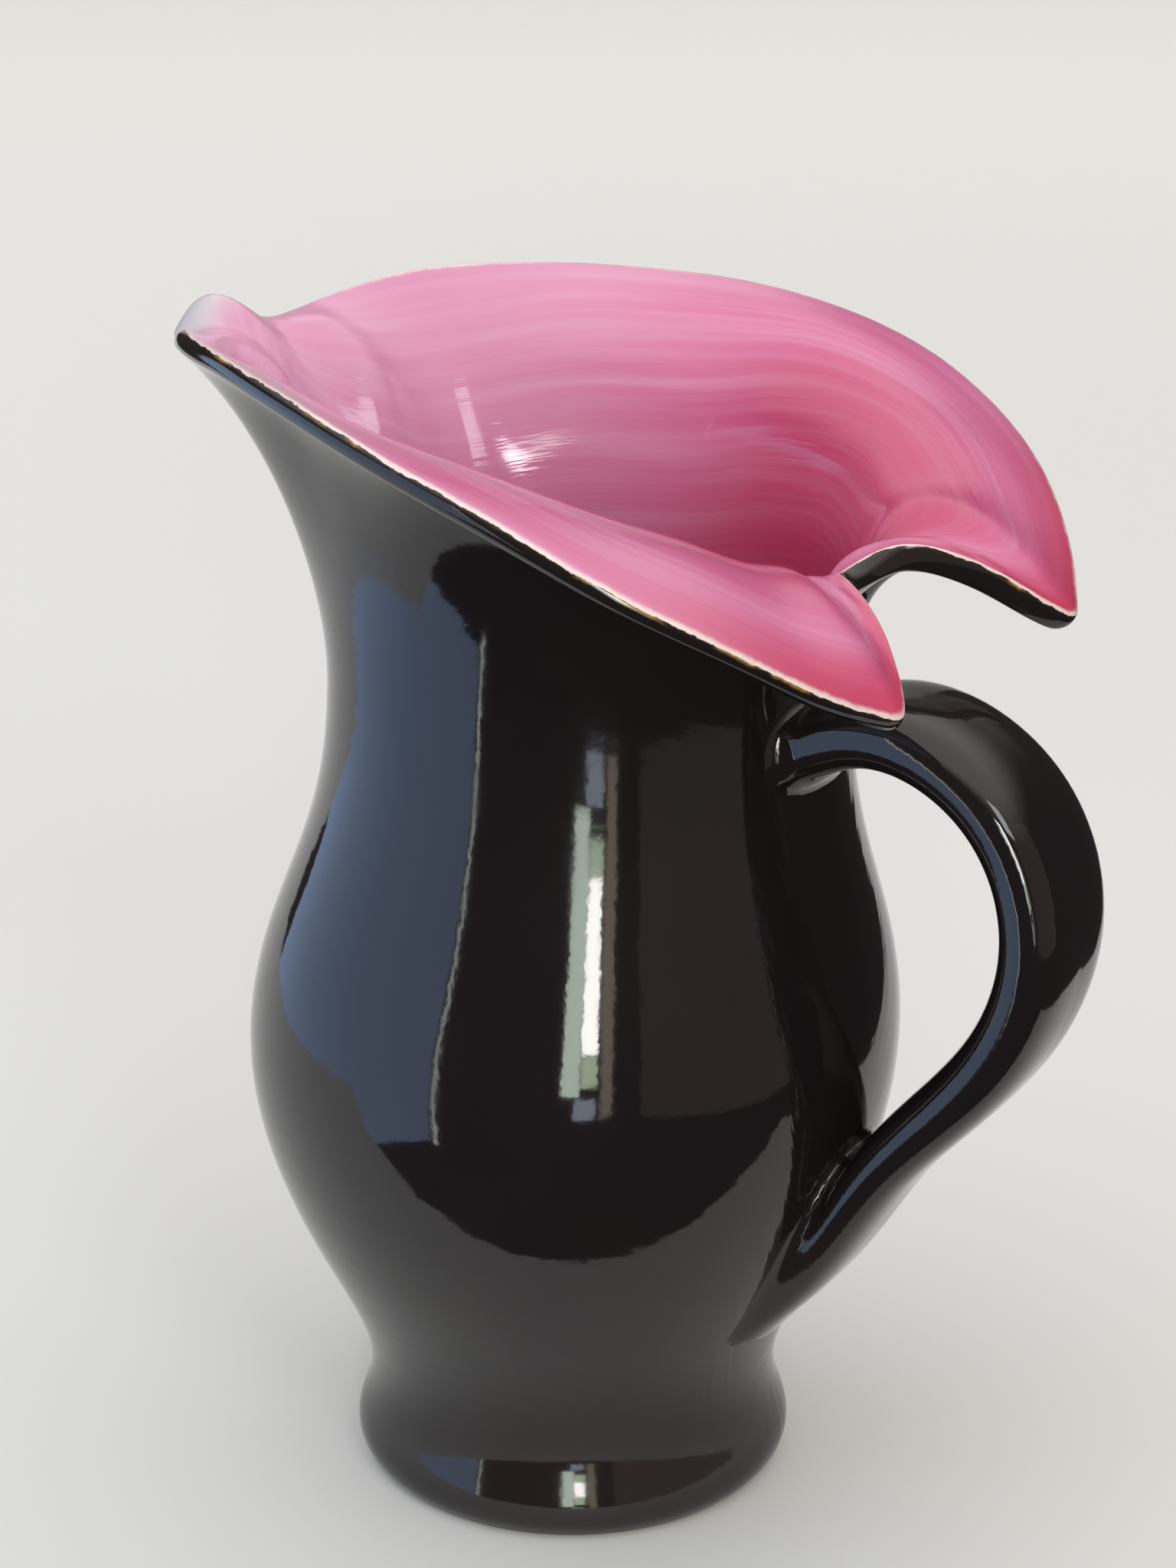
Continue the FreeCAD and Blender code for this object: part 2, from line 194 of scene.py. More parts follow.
def closed_basis(poles: int, steps: int) -> np.ndarray:
    """Return the weights of a closed cubic curve's poles, with some steps per pole.

    Args:
        poles: How many poles the closed curve has.
        steps: How many points to place for each pole.

    Returns:
        The weights, a row for each point and a column for each pole.
    """
    share = np.arange(steps) / steps
    weights = ((1 - share) ** 3, 3 * share ** 3 - 6 * share ** 2 + 4,
               -3 * share ** 3 + 3 * share ** 2 + 3 * share + 1, share ** 3)
    basis = np.zeros((poles * steps, poles))
    for pole in range(poles):
        rows = pole * steps + np.arange(steps)
        for shift, weight in enumerate(weights):
            basis[rows, (pole + shift - 1) % poles] += weight / 6
    return basis


def clamped_knots(poles: int) -> np.ndarray:
    """Return the knots of an open cubic curve that starts and ends on its end poles."""
    return np.concatenate([np.zeros(3), np.linspace(0.0, 1.0, poles - 2), np.ones(3)])


def open_basis(poles: int, places: np.ndarray) -> np.ndarray:
    """Return the weights of an open cubic curve's poles at some places from 0 to 1.

    Args:
        poles: How many poles the open curve has.
        places: The places along it, from 0 to 1.

    Returns:
        The weights, a row for each place and a column for each pole.
    """
    knots = clamped_knots(poles)
    at = np.clip(places, 0.0, 1.0 - 1e-9)
    weights = [((at >= low) & (at < high)).astype(float)
               for low, high in zip(knots[:-1], knots[1:])]
    for degree in range(1, 4):
        raised = []
        for index in range(len(weights) - 1):
            start, end = knots[index], knots[index + degree + 1]
            rise, fall = knots[index + degree] - start, end - knots[index + 1]
            first = (at - start) / rise if rise > 0 else 0.0
            second = (end - at) / fall if fall > 0 else 0.0
            raised.append(first * weights[index] + second * weights[index + 1])
        weights = raised
    return np.stack(weights, axis=1)


def pole_place(index: int, poles: int) -> float:
    """Return the place from 0 to 1 that lies nearest a pole of an open cubic curve."""
    return float(clamped_knots(poles)[index + 1:index + 4].mean())


def grid_normals(grid: np.ndarray) -> np.ndarray:
    """Return unit normals of a grid that is closed along its first axis.

    Args:
        grid: The points, rows of meridians.

    Returns:
        A unit vector for each point, out of the wall.
    """
    across = np.roll(grid, -1, axis=0) - np.roll(grid, 1, axis=0)
    normals = np.cross(across, np.gradient(grid, axis=1))
    return normals / np.maximum(np.linalg.norm(normals, axis=2, keepdims=True), 1e-9)


@dataclass
class JugForm:
    """The thrown skin of the jug in millimetres: foot, belly, neck and split mouth.

    Each named place of the outside is a radius and a height. The runs between two places
    hold shares of the height and of the radius on the way.
    """

    stand_radius: float = 44.2
    bulge: Pair = (47.6, 6.0)
    waist: Pair = (43.9, 21.0)
    belly: Pair = (69.0, 97.0)
    neck: Pair = (53.5, 177.0)
    body_lean: float = 4.4
    lean_start: float = 75.0
    wall: float = 4.5
    side_rim: float = 4.0
    lobe_rim: float = 5.5
    rim_crown: float = 0.9
    rim_roll: float = 1.1
    floor_level: float = 9.4
    floor_corner: float = 13.0
    floor_turns: tuple[float, ...] = (25.0, 50.0, 75.0)
    bare_foot: float = 2.0
    foot_turn: tuple[Pair, ...] = ((0.35, 0.62),)
    foot_hollow: tuple[Pair, ...] = ((0.60, 0.80),)
    belly_rise: tuple[Pair, ...] = ((0.20, 0.17), (0.43, 0.52), (0.70, 0.845))
    shoulder_fall: tuple[Pair, ...] = ((0.29, 0.20), (0.60, 0.745), (0.85, 0.975))
    profile_steps: int = 600
    body_rings: int = 22
    foot_crowding: float = 1.6
    mouth_rings: int = 11
    inner_rings: int = 14
    profile: np.ndarray = field(init=False)
    skin: np.ndarray = field(init=False)

    def __post_init__(self) -> None:
        """Work out the outer curve of the body once."""
        self.profile = self.body_profile()
        self.skin = np.column_stack([self.profile, self.lean_at(self.profile[:, 1])])

    def lean_at(self, height: Number) -> Number:
        """Return how far the body has moved towards the handle at a height."""
        share = (height - self.lean_start) / (self.neck[1] - self.lean_start)
        return self.body_lean * smooth_step(share)

    def body_profile(self) -> np.ndarray:
        """Return the outer curve of the body as rows of radius and height.

        Returns:
            The rows, from the stand up to the neck.
        """
        stand = (self.stand_radius, 0.0)
        points = [stand]
        for start, between, end in ((stand, self.foot_turn, self.bulge),
                                    (self.bulge, self.foot_hollow, self.waist),
                                    (self.waist, self.belly_rise, self.belly),
                                    (self.belly, self.shoulder_fall, self.neck)):
            points += [(mix(start[0], end[0], radius), mix(start[1], end[1], height))
                       for height, radius in between]
            points.append(end)
        return cubic_through(points, self.profile_steps, level_end=True)

    def along_profile(self, share: float, rows: np.ndarray) -> list[float]:
        """Return two columns of rows at a share of the way along the outer curve."""
        parameter = np.linspace(0.0, 1.0, len(rows))
        return [np.interp(share, parameter, rows[:, axis]) for axis in (0, 1)]

    def share_at(self, height: float) -> float:
        """Return the share of the way along the outer curve at a height."""
        heights = self.profile[:, 1]
        return np.interp(height, heights, np.linspace(0.0, 1.0, len(heights)))

    def radius_at(self, height: float) -> float:
        """Return the outer radius of the body at a height."""
        return np.interp(height, self.profile[:, 1], self.profile[:, 0])

    def outside_distance(self, points: np.ndarray) -> np.ndarray:
        """Return how far points lie outside the body below its mouth, in millimetres.

        Args:
            points: Places in rows, in millimetres.

        Returns:
            The distances, below zero inside.
        """
        radius, level, centre = self.skin.T
        height = points[:, 2]
        reach = np.hypot(points[:, 0] - np.interp(height, level, centre), points[:, 1])
        tilt = np.interp(height, level, np.gradient(radius, level))
        return (reach - np.interp(height, level, radius)) / np.sqrt(1.0 + tilt ** 2)

    @staticmethod
    def rim_columns() -> np.ndarray:
        """Return azimuth, reach, height, slope, rise, flare and edge share of each meridian.

        Returns:
            One row for each meridian, from the notch all the way round the mouth.
        """
        half = np.array([
            (station.azimuth, mix(*span.reach, station.reach), mix(*span.height, station.height),
             station.slope, station.rise, station.flare, station.edge)
            for span in (NOTCH_TO_LOBE, LOBE_TO_SIDE, SIDE_TO_SPOUT)
            for station in span.stations])
        mirrored = half[-2:0:-1].copy()
        mirrored[:, 0] = FULL_TURN - mirrored[:, 0]
        whole = np.concatenate([half, mirrored])
        before, after, second = (np.roll(whole, shift, axis=0) for shift in (1, -1, -2))
        before[0, 0] -= FULL_TURN
        after[-1, 0] += FULL_TURN
        second[-2:, 0] += FULL_TURN
        between = (9 * (whole + after) - before - second) / 16
        return np.stack([whole, between], axis=1).reshape(-1, whole.shape[1])

    def mouth_curves(self, columns: np.ndarray, radius: float,
                     inward: bool) -> tuple[np.ndarray, np.ndarray]:
        """Return four guide points of every meridian from the neck to the rim.

        Args:
            columns: The rim's columns, one row for each meridian.
            radius: The radius the meridians start from.
            inward: Whether they run on the inside of the wall.

        Returns:
            The guide points, four for each meridian, and the direction each ends in.
        """
        azimuth, reach, height, slope, rise, flare, edge_share = columns.T
        tilt = np.radians(slope)
        ring = level_ways(np.radians(azimuth))
        start = ring * radius + AHEAD * self.lean_at(self.neck[1]) + UP * self.neck[1]
        edge = ring * reach[:, None] + UP * height[:, None]
        out = (edge - start) * LEVEL
        out /= np.linalg.norm(out, axis=1, keepdims=True)
        along = out * np.cos(tilt)[:, None] + UP * np.sin(tilt)[:, None]
        under = out * np.sin(tilt)[:, None] - UP * np.cos(tilt)[:, None]
        thick = mix(self.side_rim, self.lobe_rim, edge_share)[:, None]
        end = edge if inward else edge + under * thick
        chord = np.linalg.norm(end - start, axis=1, keepdims=True)
        guides = np.stack([start, start + UP * chord * rise[:, None],
                           end - along * chord * flare[:, None], end], axis=1)
        return guides, along

    def net(self) -> tuple[np.ndarray, int, int]:
        """Return the rings of the glazed surface and the places of the two rim edges.

        Returns:
            The points, meridians by rings, and the numbers of the rings at the rim's outer and
            inner edge.
        """
        columns = self.rim_columns()
        ring = level_ways(np.radians(columns[:, 0]))
        crowded = np.linspace(0.0, 1.0, self.body_rings)[:-1] ** self.foot_crowding
        rings = []
        for share in np.append(0.0, mix(self.share_at(self.bare_foot), 1.0, crowded)):
            radius, height = self.along_profile(share, self.profile)
            rings.append(ring * radius + UP * height + AHEAD * self.lean_at(height))
        outer, _ = self.mouth_curves(columns, self.neck[0], False)
        inner, along = self.mouth_curves(columns, self.neck[0] - self.wall, True)
        steps = range(self.mouth_rings)
        rings += [self.bezier(outer, step / self.mouth_rings) for step in steps]
        rings.append(outer[:, 3] - along * self.rim_roll)
        outer_edge = len(rings)
        rings.append(outer[:, 3])
        rings += [mix(outer[:, 3], inner[:, 3], share) + along * self.rim_crown
                  for share in (1 / 3, 2 / 3)]
        inner_edge = len(rings)
        rings += [inner[:, 3], inner[:, 3] - along * self.rim_roll]
        rings += [self.bezier(inner, step / self.mouth_rings) for step in steps[:0:-1]]
        rings += self.inner_body(ring)
        rings += self.floor_rings(rings[-1])
        return np.stack(rings, axis=1), outer_edge, inner_edge

    def inner_body(self, ring: np.ndarray) -> list[np.ndarray]:
        """Return the rings down the inside of the body, a wall's thickness in.

        Args:
            ring: Level unit vectors of the meridians.

        Returns:
            The rings, from the neck down to the waist.
        """
        slopes = np.gradient(self.profile, axis=0)
        slopes /= np.linalg.norm(slopes, axis=1, keepdims=True)
        lowest = self.share_at(self.waist[1])
        rings = []
        for step in range(self.inner_rings, -1, -1):
            share = mix(lowest, 1.0, step / self.inner_rings)
            radius, height = self.along_profile(share, self.profile)
            out, rise = self.along_profile(share, slopes)
            centre = AHEAD * self.lean_at(height) + UP * (height + self.wall * out)
            rings.append(ring * (radius - self.wall * rise) + centre)
        return rings

    def floor_rings(self, lowest: np.ndarray) -> list[np.ndarray]:
        """Return the rings that turn the inner wall into a level floor.

        Args:
            lowest: The lowest ring of the inner wall.

        Returns:
            The rings, from the wall towards the middle.
        """
        radius = np.hypot(lowest[:, 0], lowest[:, 1])[:, None]
        unit = lowest * LEVEL / radius
        rings = []
        for turn in np.radians(self.floor_turns):
            reach = radius - self.floor_corner * (1.0 - np.cos(turn))
            drop = mix(lowest[:, 2:], self.floor_level, np.sin(turn))
            rings.append(unit * reach + UP * drop)
        rings += [unit * (radius - corners * self.floor_corner) + UP * self.floor_level
                  for corners in (1, 2)]
        return rings

    @staticmethod
    def bezier(guides: np.ndarray, share: float) -> np.ndarray:
        """Return the points at a share along four-point curves.

        Args:
            guides: Four guide points for each curve.
            share: The share of the way along.

        Returns:
            One point for each curve.
        """
        rest = 1.0 - share
        weights = np.array([rest ** 3, 3 * rest ** 2 * share, 3 * rest * share ** 2, share ** 3])
        return np.einsum("mgc,g->mc", guides, weights)


@dataclass
class SkinGrid:
    """The glazed surface as a fine grid of points, from the foot to the floor inside."""

    form: JugForm
    round_steps: int = 4
    ring_steps: int = 3
    rim_samples: int = 40
    handover_rings: int = 3
    foot_share: float = 0.2
    neck_overlap: float = 8.0
    points: np.ndarray = field(init=False)
    rim: np.ndarray = field(init=False)
    outer_edge: int = field(init=False)
    inner_edge: int = field(init=False)
    handover: int = field(init=False)
    foot_edge: int = field(init=False)

    def __post_init__(self) -> None:
        """Evaluate the smooth surface over the form's net of rings."""
        net, outer, inner = self.form.net()
        rings = net.shape[1]
        marks = [pole_place(index, rings) for index in (outer, inner, inner + self.handover_rings)]
        marks.append(pole_place(1, rings) * self.foot_share)
        even = np.linspace(0.0, 1.0, (rings - 3) * self.ring_steps + 1)
        rim_zone = np.linspace(pole_place(outer - 2, rings), pole_place(inner + 2, rings),
                               self.rim_samples)
        places = np.unique(np.concatenate([even, rim_zone, marks]))
        grid = np.einsum("um,mrc->urc", closed_basis(len(net), self.round_steps), net)
        self.points = np.einsum("urc,vr->uvc", grid, open_basis(rings, places))
        self.outer_edge, self.inner_edge, self.handover, self.foot_edge = (
            int(np.argmin(np.abs(places - mark))) for mark in marks)
        steps = np.linalg.norm(np.diff(self.points, axis=1), axis=2)
        length = np.concatenate([np.zeros((len(steps), 1)), np.cumsum(steps, axis=1)], axis=1)
        self.rim = length - length[:, self.inner_edge:self.inner_edge + 1]
        self.form.skin = self.skin_line()

    def skin_line(self) -> np.ndarray:
        """Return radius, height and centre of the smooth surface below the mouth.

        Returns:
            The rows, from the foot up to a little above the neck.
        """
        outside = self.points[:, 1:self.outer_edge]
        half = len(outside) // 2
        side = int(np.argmin(np.abs(outside[:half, 0, 0])))
        radius, height = outside[side, :, 1], outside[side, :, 2]
        centre = sum(np.interp(height, line[:, 2], line[:, 0])
                     for line in (outside[0], outside[half])) / 2
        kept = (height < self.form.neck[1] + self.neck_overlap) & (np.gradient(height) > 0)
        return np.column_stack([radius, height, centre])[kept]


@dataclass
class HandleForm:
    """The strap of clay that is pulled from the neck down to the lower belly."""

    body: JugForm
    width: float = 31.0
    thickness: float = 13.0
    tail_thickness: float = 10.0
    reach: float = 108.0
    widest_height: float = 142.0
    crest: Pair = (72.0, 176.6)
    root_height: float = 170.5
    root_embed: float = 2.2
    elbow: Pair = (78.0, 87.0)
    landing_height: float = 59.0
    landing_sink: float = -0.8
    tail_height: float = 45.5
    tail_sink: float = 4.6
    upper_swing: Pair = (0.72, 0.70)
    lower_swing: Pair = (0.78, 0.54)
    squareness: float = 3.0
    glaze: float = 0.4
    stations: int = 320
    path_steps: int = 900
    batch: int = 20000
    mark_depth: float = 60.0
    mark_width: float = 100.0
    upper_fillet: float = 4.5
    lower_fillet: float = 4.5
    centres: np.ndarray = field(init=False)
    tangents: np.ndarray = field(init=False)
    half_widths: np.ndarray = field(init=False)
    half_thicknesses: np.ndarray = field(init=False)

    def __post_init__(self) -> None:
        """Work out the centre line and the section sizes along it."""
        path = self.centre_line()
        steps = np.linalg.norm(np.diff(path, axis=0), axis=1)
        length = np.concatenate([[0.0], np.cumsum(steps)])
        share = np.linspace(0.0, 1.0, self.stations)
        centre = np.stack([np.interp(share * length[-1], length, path[:, axis])
                           for axis in (0, 1)], axis=1)
        tangent = np.gradient(centre, axis=0)
        tangent /= np.linalg.norm(tangent, axis=1, keepdims=True)
        self.centres, self.tangents = (
            np.insert(rows, 1, 0.0, axis=1) for rows in (centre, tangent))
        thickness = mix(self.thickness, self.tail_thickness, smooth_step(share * 2 - 1))
        self.half_widths = np.full(self.stations, self.width / 2 + self.glaze)
        self.half_thicknesses = thickness / 2 + self.glaze

    def centre_line(self) -> np.ndarray:
        """Return the strap's centre line as rows of reach and height.

        Returns:
            The rows, from the root at the neck down to the tail.
        """
        body = self.body
        root = (body.lean_at(self.root_height) + body.neck[0] - self.root_embed,
                self.root_height)
        upper = (mix(self.crest[0], self.reach, self.upper_swing[0]),
                 mix(self.widest_height, self.crest[1], self.upper_swing[1]))
        lower = (mix(self.elbow[0], self.reach, self.lower_swing[0]),
                 mix(self.elbow[1], self.widest_height, self.lower_swing[1]))
        landing = (body.radius_at(self.landing_height) - self.landing_sink, self.landing_height)
        tail = (body.radius_at(self.tail_height) - self.tail_sink, self.tail_height)
        return cubic_through((root, self.crest, upper, (self.reach, self.widest_height),
                              lower, self.elbow, landing, tail), self.path_steps)

    def nearest(self, points: np.ndarray) -> np.ndarray:
        """Return the number of the station nearest to each point.

        Args:
            points: Places in rows, in millimetres.

        Returns:
            A station number for each point.
        """
        line = self.centres[:, (0, 2)]
        found = []
        for part in np.array_split(points[:, (0, 2)], max(1, len(points) // self.batch)):
            square = ((part ** 2).sum(axis=1)[:, None] - 2 * part @ line.T
                      + (line ** 2).sum(axis=1))
            found.append(np.argmin(square, axis=1))
        return np.concatenate(found)

    def through(self, points: np.ndarray, station: np.ndarray) -> np.ndarray:
        """Return how far points lie from the strap's middle, across its thickness."""
        normal = np.cross(self.tangents[station], SIDEWAYS)
        return ((points - self.centres[station]) * normal).sum(axis=1)

    def outside_distance(self, points: np.ndarray) -> np.ndarray:
        """Return how far points lie outside the strap, in millimetres.

        Args:
            points: Places in rows, in millimetres.

        Returns:
            The distances, below zero inside.
        """
        station = self.nearest(points)
        wide, thick = self.half_widths[station], self.half_thicknesses[station]
        across = np.abs(points[:, 1]) / wide
        through = np.abs(self.through(points, station)) / thick
        power = self.squareness
        size = np.maximum((across ** power + through ** power) ** (1 / power), TINY)
        steep = np.hypot(across ** (power - 1) / wide, through ** (power - 1) / thick)
        gap = np.maximum((size - 1.0) * size ** (power - 1) / np.maximum(steep, TINY), -thick)
        offset = points - self.centres[station]
        at_end = (station == 0) | (station == self.stations - 1)
        beyond = np.where(at_end, np.abs((offset * self.tangents[station]).sum(axis=1)), 0.0)
        ended = np.hypot(np.maximum(gap, 0.0), beyond) + np.minimum(gap, 0.0)
        return np.where(beyond > 0, ended, gap)

    def marks(self, points: np.ndarray) -> np.ndarray:
        """Return coordinates of the pulling marks: slow along the strap, quick across it.

        Args:
            points: Places in rows, in millimetres.

        Returns:
            A row of three coordinates for each point.
        """
        station = self.nearest(points)
        depth = self.through(points, station)
        return np.stack([station / self.stations, depth / self.mark_depth,
                         points[:, 1] / self.mark_width], axis=1)


def smooth_union(first: np.ndarray, second: np.ndarray, reach: Number) -> np.ndarray:
    """Return the soft lesser of two distances, which fillets the crease between them."""
    share = np.clip(0.5 + 0.5 * (second - first) / reach, 0.0, 1.0)
    return second + (first - second) * share - reach * share * (1.0 - share)


def crossing_points(values: np.ndarray, grid: np.ndarray) -> tuple[np.ndarray, np.ndarray]:
    """Return the mean crossing in every cell that the surface cuts, and the cells' numbers.

    Args:
        values: The field's value at each point of the lattice.
        grid: The places of those points.

    Returns:
        The crossings in rows, and a lattice of their numbers, with -1 in cells that have none.
    """
    cells = tuple(size - 1 for size in values.shape)
    total, count = np.zeros(cells + (3,)), np.zeros(cells)
    for axis in range(3):
        for corner in np.ndindex(*(1 if other == axis else 2 for other in range(3))):
            ends = [tuple(slice(start, start + size) for start, size in zip(place, cells))
                    for place in (corner, np.eye(3, dtype=int)[axis] + corner)]
            near, far = (values[end] for end in ends)
            crossed = (near < 0) != (far < 0)
            share = np.where(crossed, near / np.where(crossed, near - far, 1.0), 0.0)
            total += mix(*(grid[end] for end in ends), share[..., None]) * crossed[..., None]
            count += crossed
    used = count > 0
    number = np.full(cells, -1)
    number[used] = np.arange(used.sum())
    return total[used] / count[used][:, None], number


def crossing_faces(inside: np.ndarray, number: np.ndarray) -> Faces:
    """Return a four-sided face for every edge of the lattice that the surface cuts.

    Args:
        inside: Which points of the lattice lie inside.
        number: The number of each cell's crossing, or -1.

    Returns:
        The faces, turned to look outwards.
    """
    faces = []
    for axis in range(3):
        pair = ((axis + 1) % 3, (axis + 2) % 3)
        near, far = [slice(1, -1)] * 3, [slice(1, -1)] * 3
        near[axis], far[axis] = slice(0, -1), slice(1, None)
        before, after = inside[tuple(near)], inside[tuple(far)]
        for flip in (False, True):
            spots = np.argwhere(after & ~before if flip else before & ~after)
            spots[:, pair] += 1
            corners = []
            for back in ((1, 1), (0, 1), (0, 0), (1, 0)):
                cell = spots.copy()
                cell[:, pair] -= back
                corners.append(number[tuple(cell.T)])
            quads = np.stack(corners[::-1] if flip else corners, axis=1)
            faces += [tuple(quad) for quad in quads.tolist()]
    return faces


@dataclass(frozen=True)
class SurfaceNet:
    """Finds the surface where a field of distances is zero, as a closed net of faces."""

    step: float
    rounds: int = 4
    probe: float = 0.04
    longest_move: float = 0.5
    flattest: float = 0.3

    def build(self, field_at: Callable, low: np.ndarray,
              high: np.ndarray) -> tuple[np.ndarray, Faces]:
        """Return the surface inside a box.

        Args:
            field_at: Gives the field's value at points in rows, below zero inside.
            low: The lowest corner of the box that is searched.
            high: Its highest corner.

        Returns:
            The points, moved on to the surface, and the faces.
        """
        axes = [np.arange(start, end + self.step, self.step) for start, end in zip(low, high)]
        grid = np.stack(np.meshgrid(*axes, indexing="ij"), axis=-1)
        values = field_at(grid.reshape(-1, 3)).reshape(grid.shape[:3])
        points, number = crossing_points(values, grid)
        for _ in range(self.rounds):
            value = field_at(points)
            slope = np.stack([(field_at(points + axis * self.probe) - value) / self.probe
                              for axis in np.eye(3)], axis=1)
            square = np.maximum((slope ** 2).sum(axis=1), self.flattest)
            move = np.clip(value, -self.longest_move, self.longest_move) / square
            points = points - slope * move[:, None]
        return points, crossing_faces(values < 0, number)


def make_piece(name: str, points: np.ndarray, faces: Sequence[Sequence[int]]) -> Piece:
    """Return a smooth-shaded mesh object from points in millimetres.

    Args:
        name: The piece's name.
        points: Its corners, one row each.
        faces: Its faces, each a row of corner numbers.

    Returns:
        The object, linked to the scene.
    """
    mesh = bpy.data.meshes.new(name)
    mesh.from_pydata((points * METRES).tolist(), [], [tuple(face) for face in faces])
    mesh.polygons.foreach_set("use_smooth", [True] * len(mesh.polygons))
    mesh.validate()
    mesh.update()
    piece = bpy.data.objects.new(name, mesh)
    bpy.context.scene.collection.objects.link(piece)
    return piece


def add_attribute(piece: Piece, name: str, values: np.ndarray) -> None:
    """Store a number or a vector for each corner point of a piece.

    Args:
        piece: The piece that gets it.
        name: The attribute's name.
        values: One number, or one row of three, for each corner point.
    """
    kind, key = ("FLOAT", "value") if values.ndim == 1 else ("FLOAT_VECTOR", "vector")
    made = piece.data.attributes.new(name, kind, "POINT")
    made.data.foreach_set(key, values.astype(np.float32).ravel())


def strip_faces(rows: int, columns: int, closed_columns: bool) -> Faces:
    """Return the four-sided faces of a grid of points whose rows go all the way round.

    Args:
        rows: How many rows of points there are.
        columns: How many points each row has.
        closed_columns: Whether each row's last point joins its first.

    Returns:
        The faces as rows of corner numbers.
    """
    column = np.arange(columns if closed_columns else columns - 1)
    rows_at, columns_at = (part.ravel()
                           for part in np.meshgrid(np.arange(rows), column, indexing="ij"))
    next_row, next_column = (rows_at + 1) % rows, (columns_at + 1) % columns
    quads = np.stack([rows_at * columns + columns_at, next_row * columns + columns_at,
                      next_row * columns + next_column, rows_at * columns + next_column], axis=1)
    return [tuple(quad) for quad in quads.tolist()]


def shell_piece(name: str, outer: np.ndarray, inner: np.ndarray, wheel: np.ndarray,
                rim: np.ndarray, closed_end: bool) -> Piece:
    """Return a closed thin shell between two grids that are closed along their first axis.

    Args:
        name: The piece's name.
        outer: The seen side, rows of meridians.
        inner: The hidden side, in the same order.
        wheel: The coordinates that the brush marks follow, for each point.
        rim: The distance from the rim's inner edge, for each point.
        closed_end: Whether the shell ends in a floor instead of an open ring.

    Returns:
        The piece with its attributes.
    """
    rows, columns = outer.shape[:2]
    width, last = 2 * columns, columns - 1
    points = np.concatenate([outer, inner[:, ::-1]], axis=1).reshape(-1, 3)
    faces = strip_faces(rows, width, not closed_end)
    attributes = {
        WHEEL: np.concatenate([wheel, wheel[:, ::-1]], axis=1).reshape(-1, 3),
        RIM: np.concatenate([rim, rim[:, ::-1]], axis=1).ravel()}
    if closed_end:
        faces = [face for face in faces
                 if {corner % width for corner in face} != {last, last + 1}]
        base = len(points)
        middles = [outer[:, -1].mean(axis=0), inner[:, -1].mean(axis=0)]
        points = np.concatenate([points, middles])
        for row in range(rows):
            here, after = row * width, (row + 1) % rows * width
            faces += [(here + last, after + last, base),
                      (after + last + 1, here + last + 1, base + 1),
                      (here + width - 1, after + width - 1, after, here)]
        attributes = {key: np.concatenate([value, value[:1], value[:1]])
                      for key, value in attributes.items()}
    piece = make_piece(name, points, faces)
    for key, values in attributes.items():
        add_attribute(piece, key, values)
    ends = np.zeros(2 * len(piece.data.edges), dtype=np.int32)
    piece.data.edges.foreach_get("vertices", ends)
    column = np.where(ends < rows * width, ends % width, -1).reshape(-1, 2)
    at_end = np.isin(column[:, 0], (0, last, columns, width - 1))
    piece.data.edges.foreach_set("use_edge_sharp", (column[:, 0] == column[:, 1]) & at_end)
    return piece


@dataclass(frozen=True)
class Wash:
    """How strongly a colour lies over another while a value runs between two ends."""

    start: float
    end: float
    amount: float = 1.0


@dataclass(frozen=True)
class Grain:
    """A soft random pattern: how close it lies, its finer layers and how strong they are."""

    scale: float
    detail: float = 2.0
    rough: float = 0.5


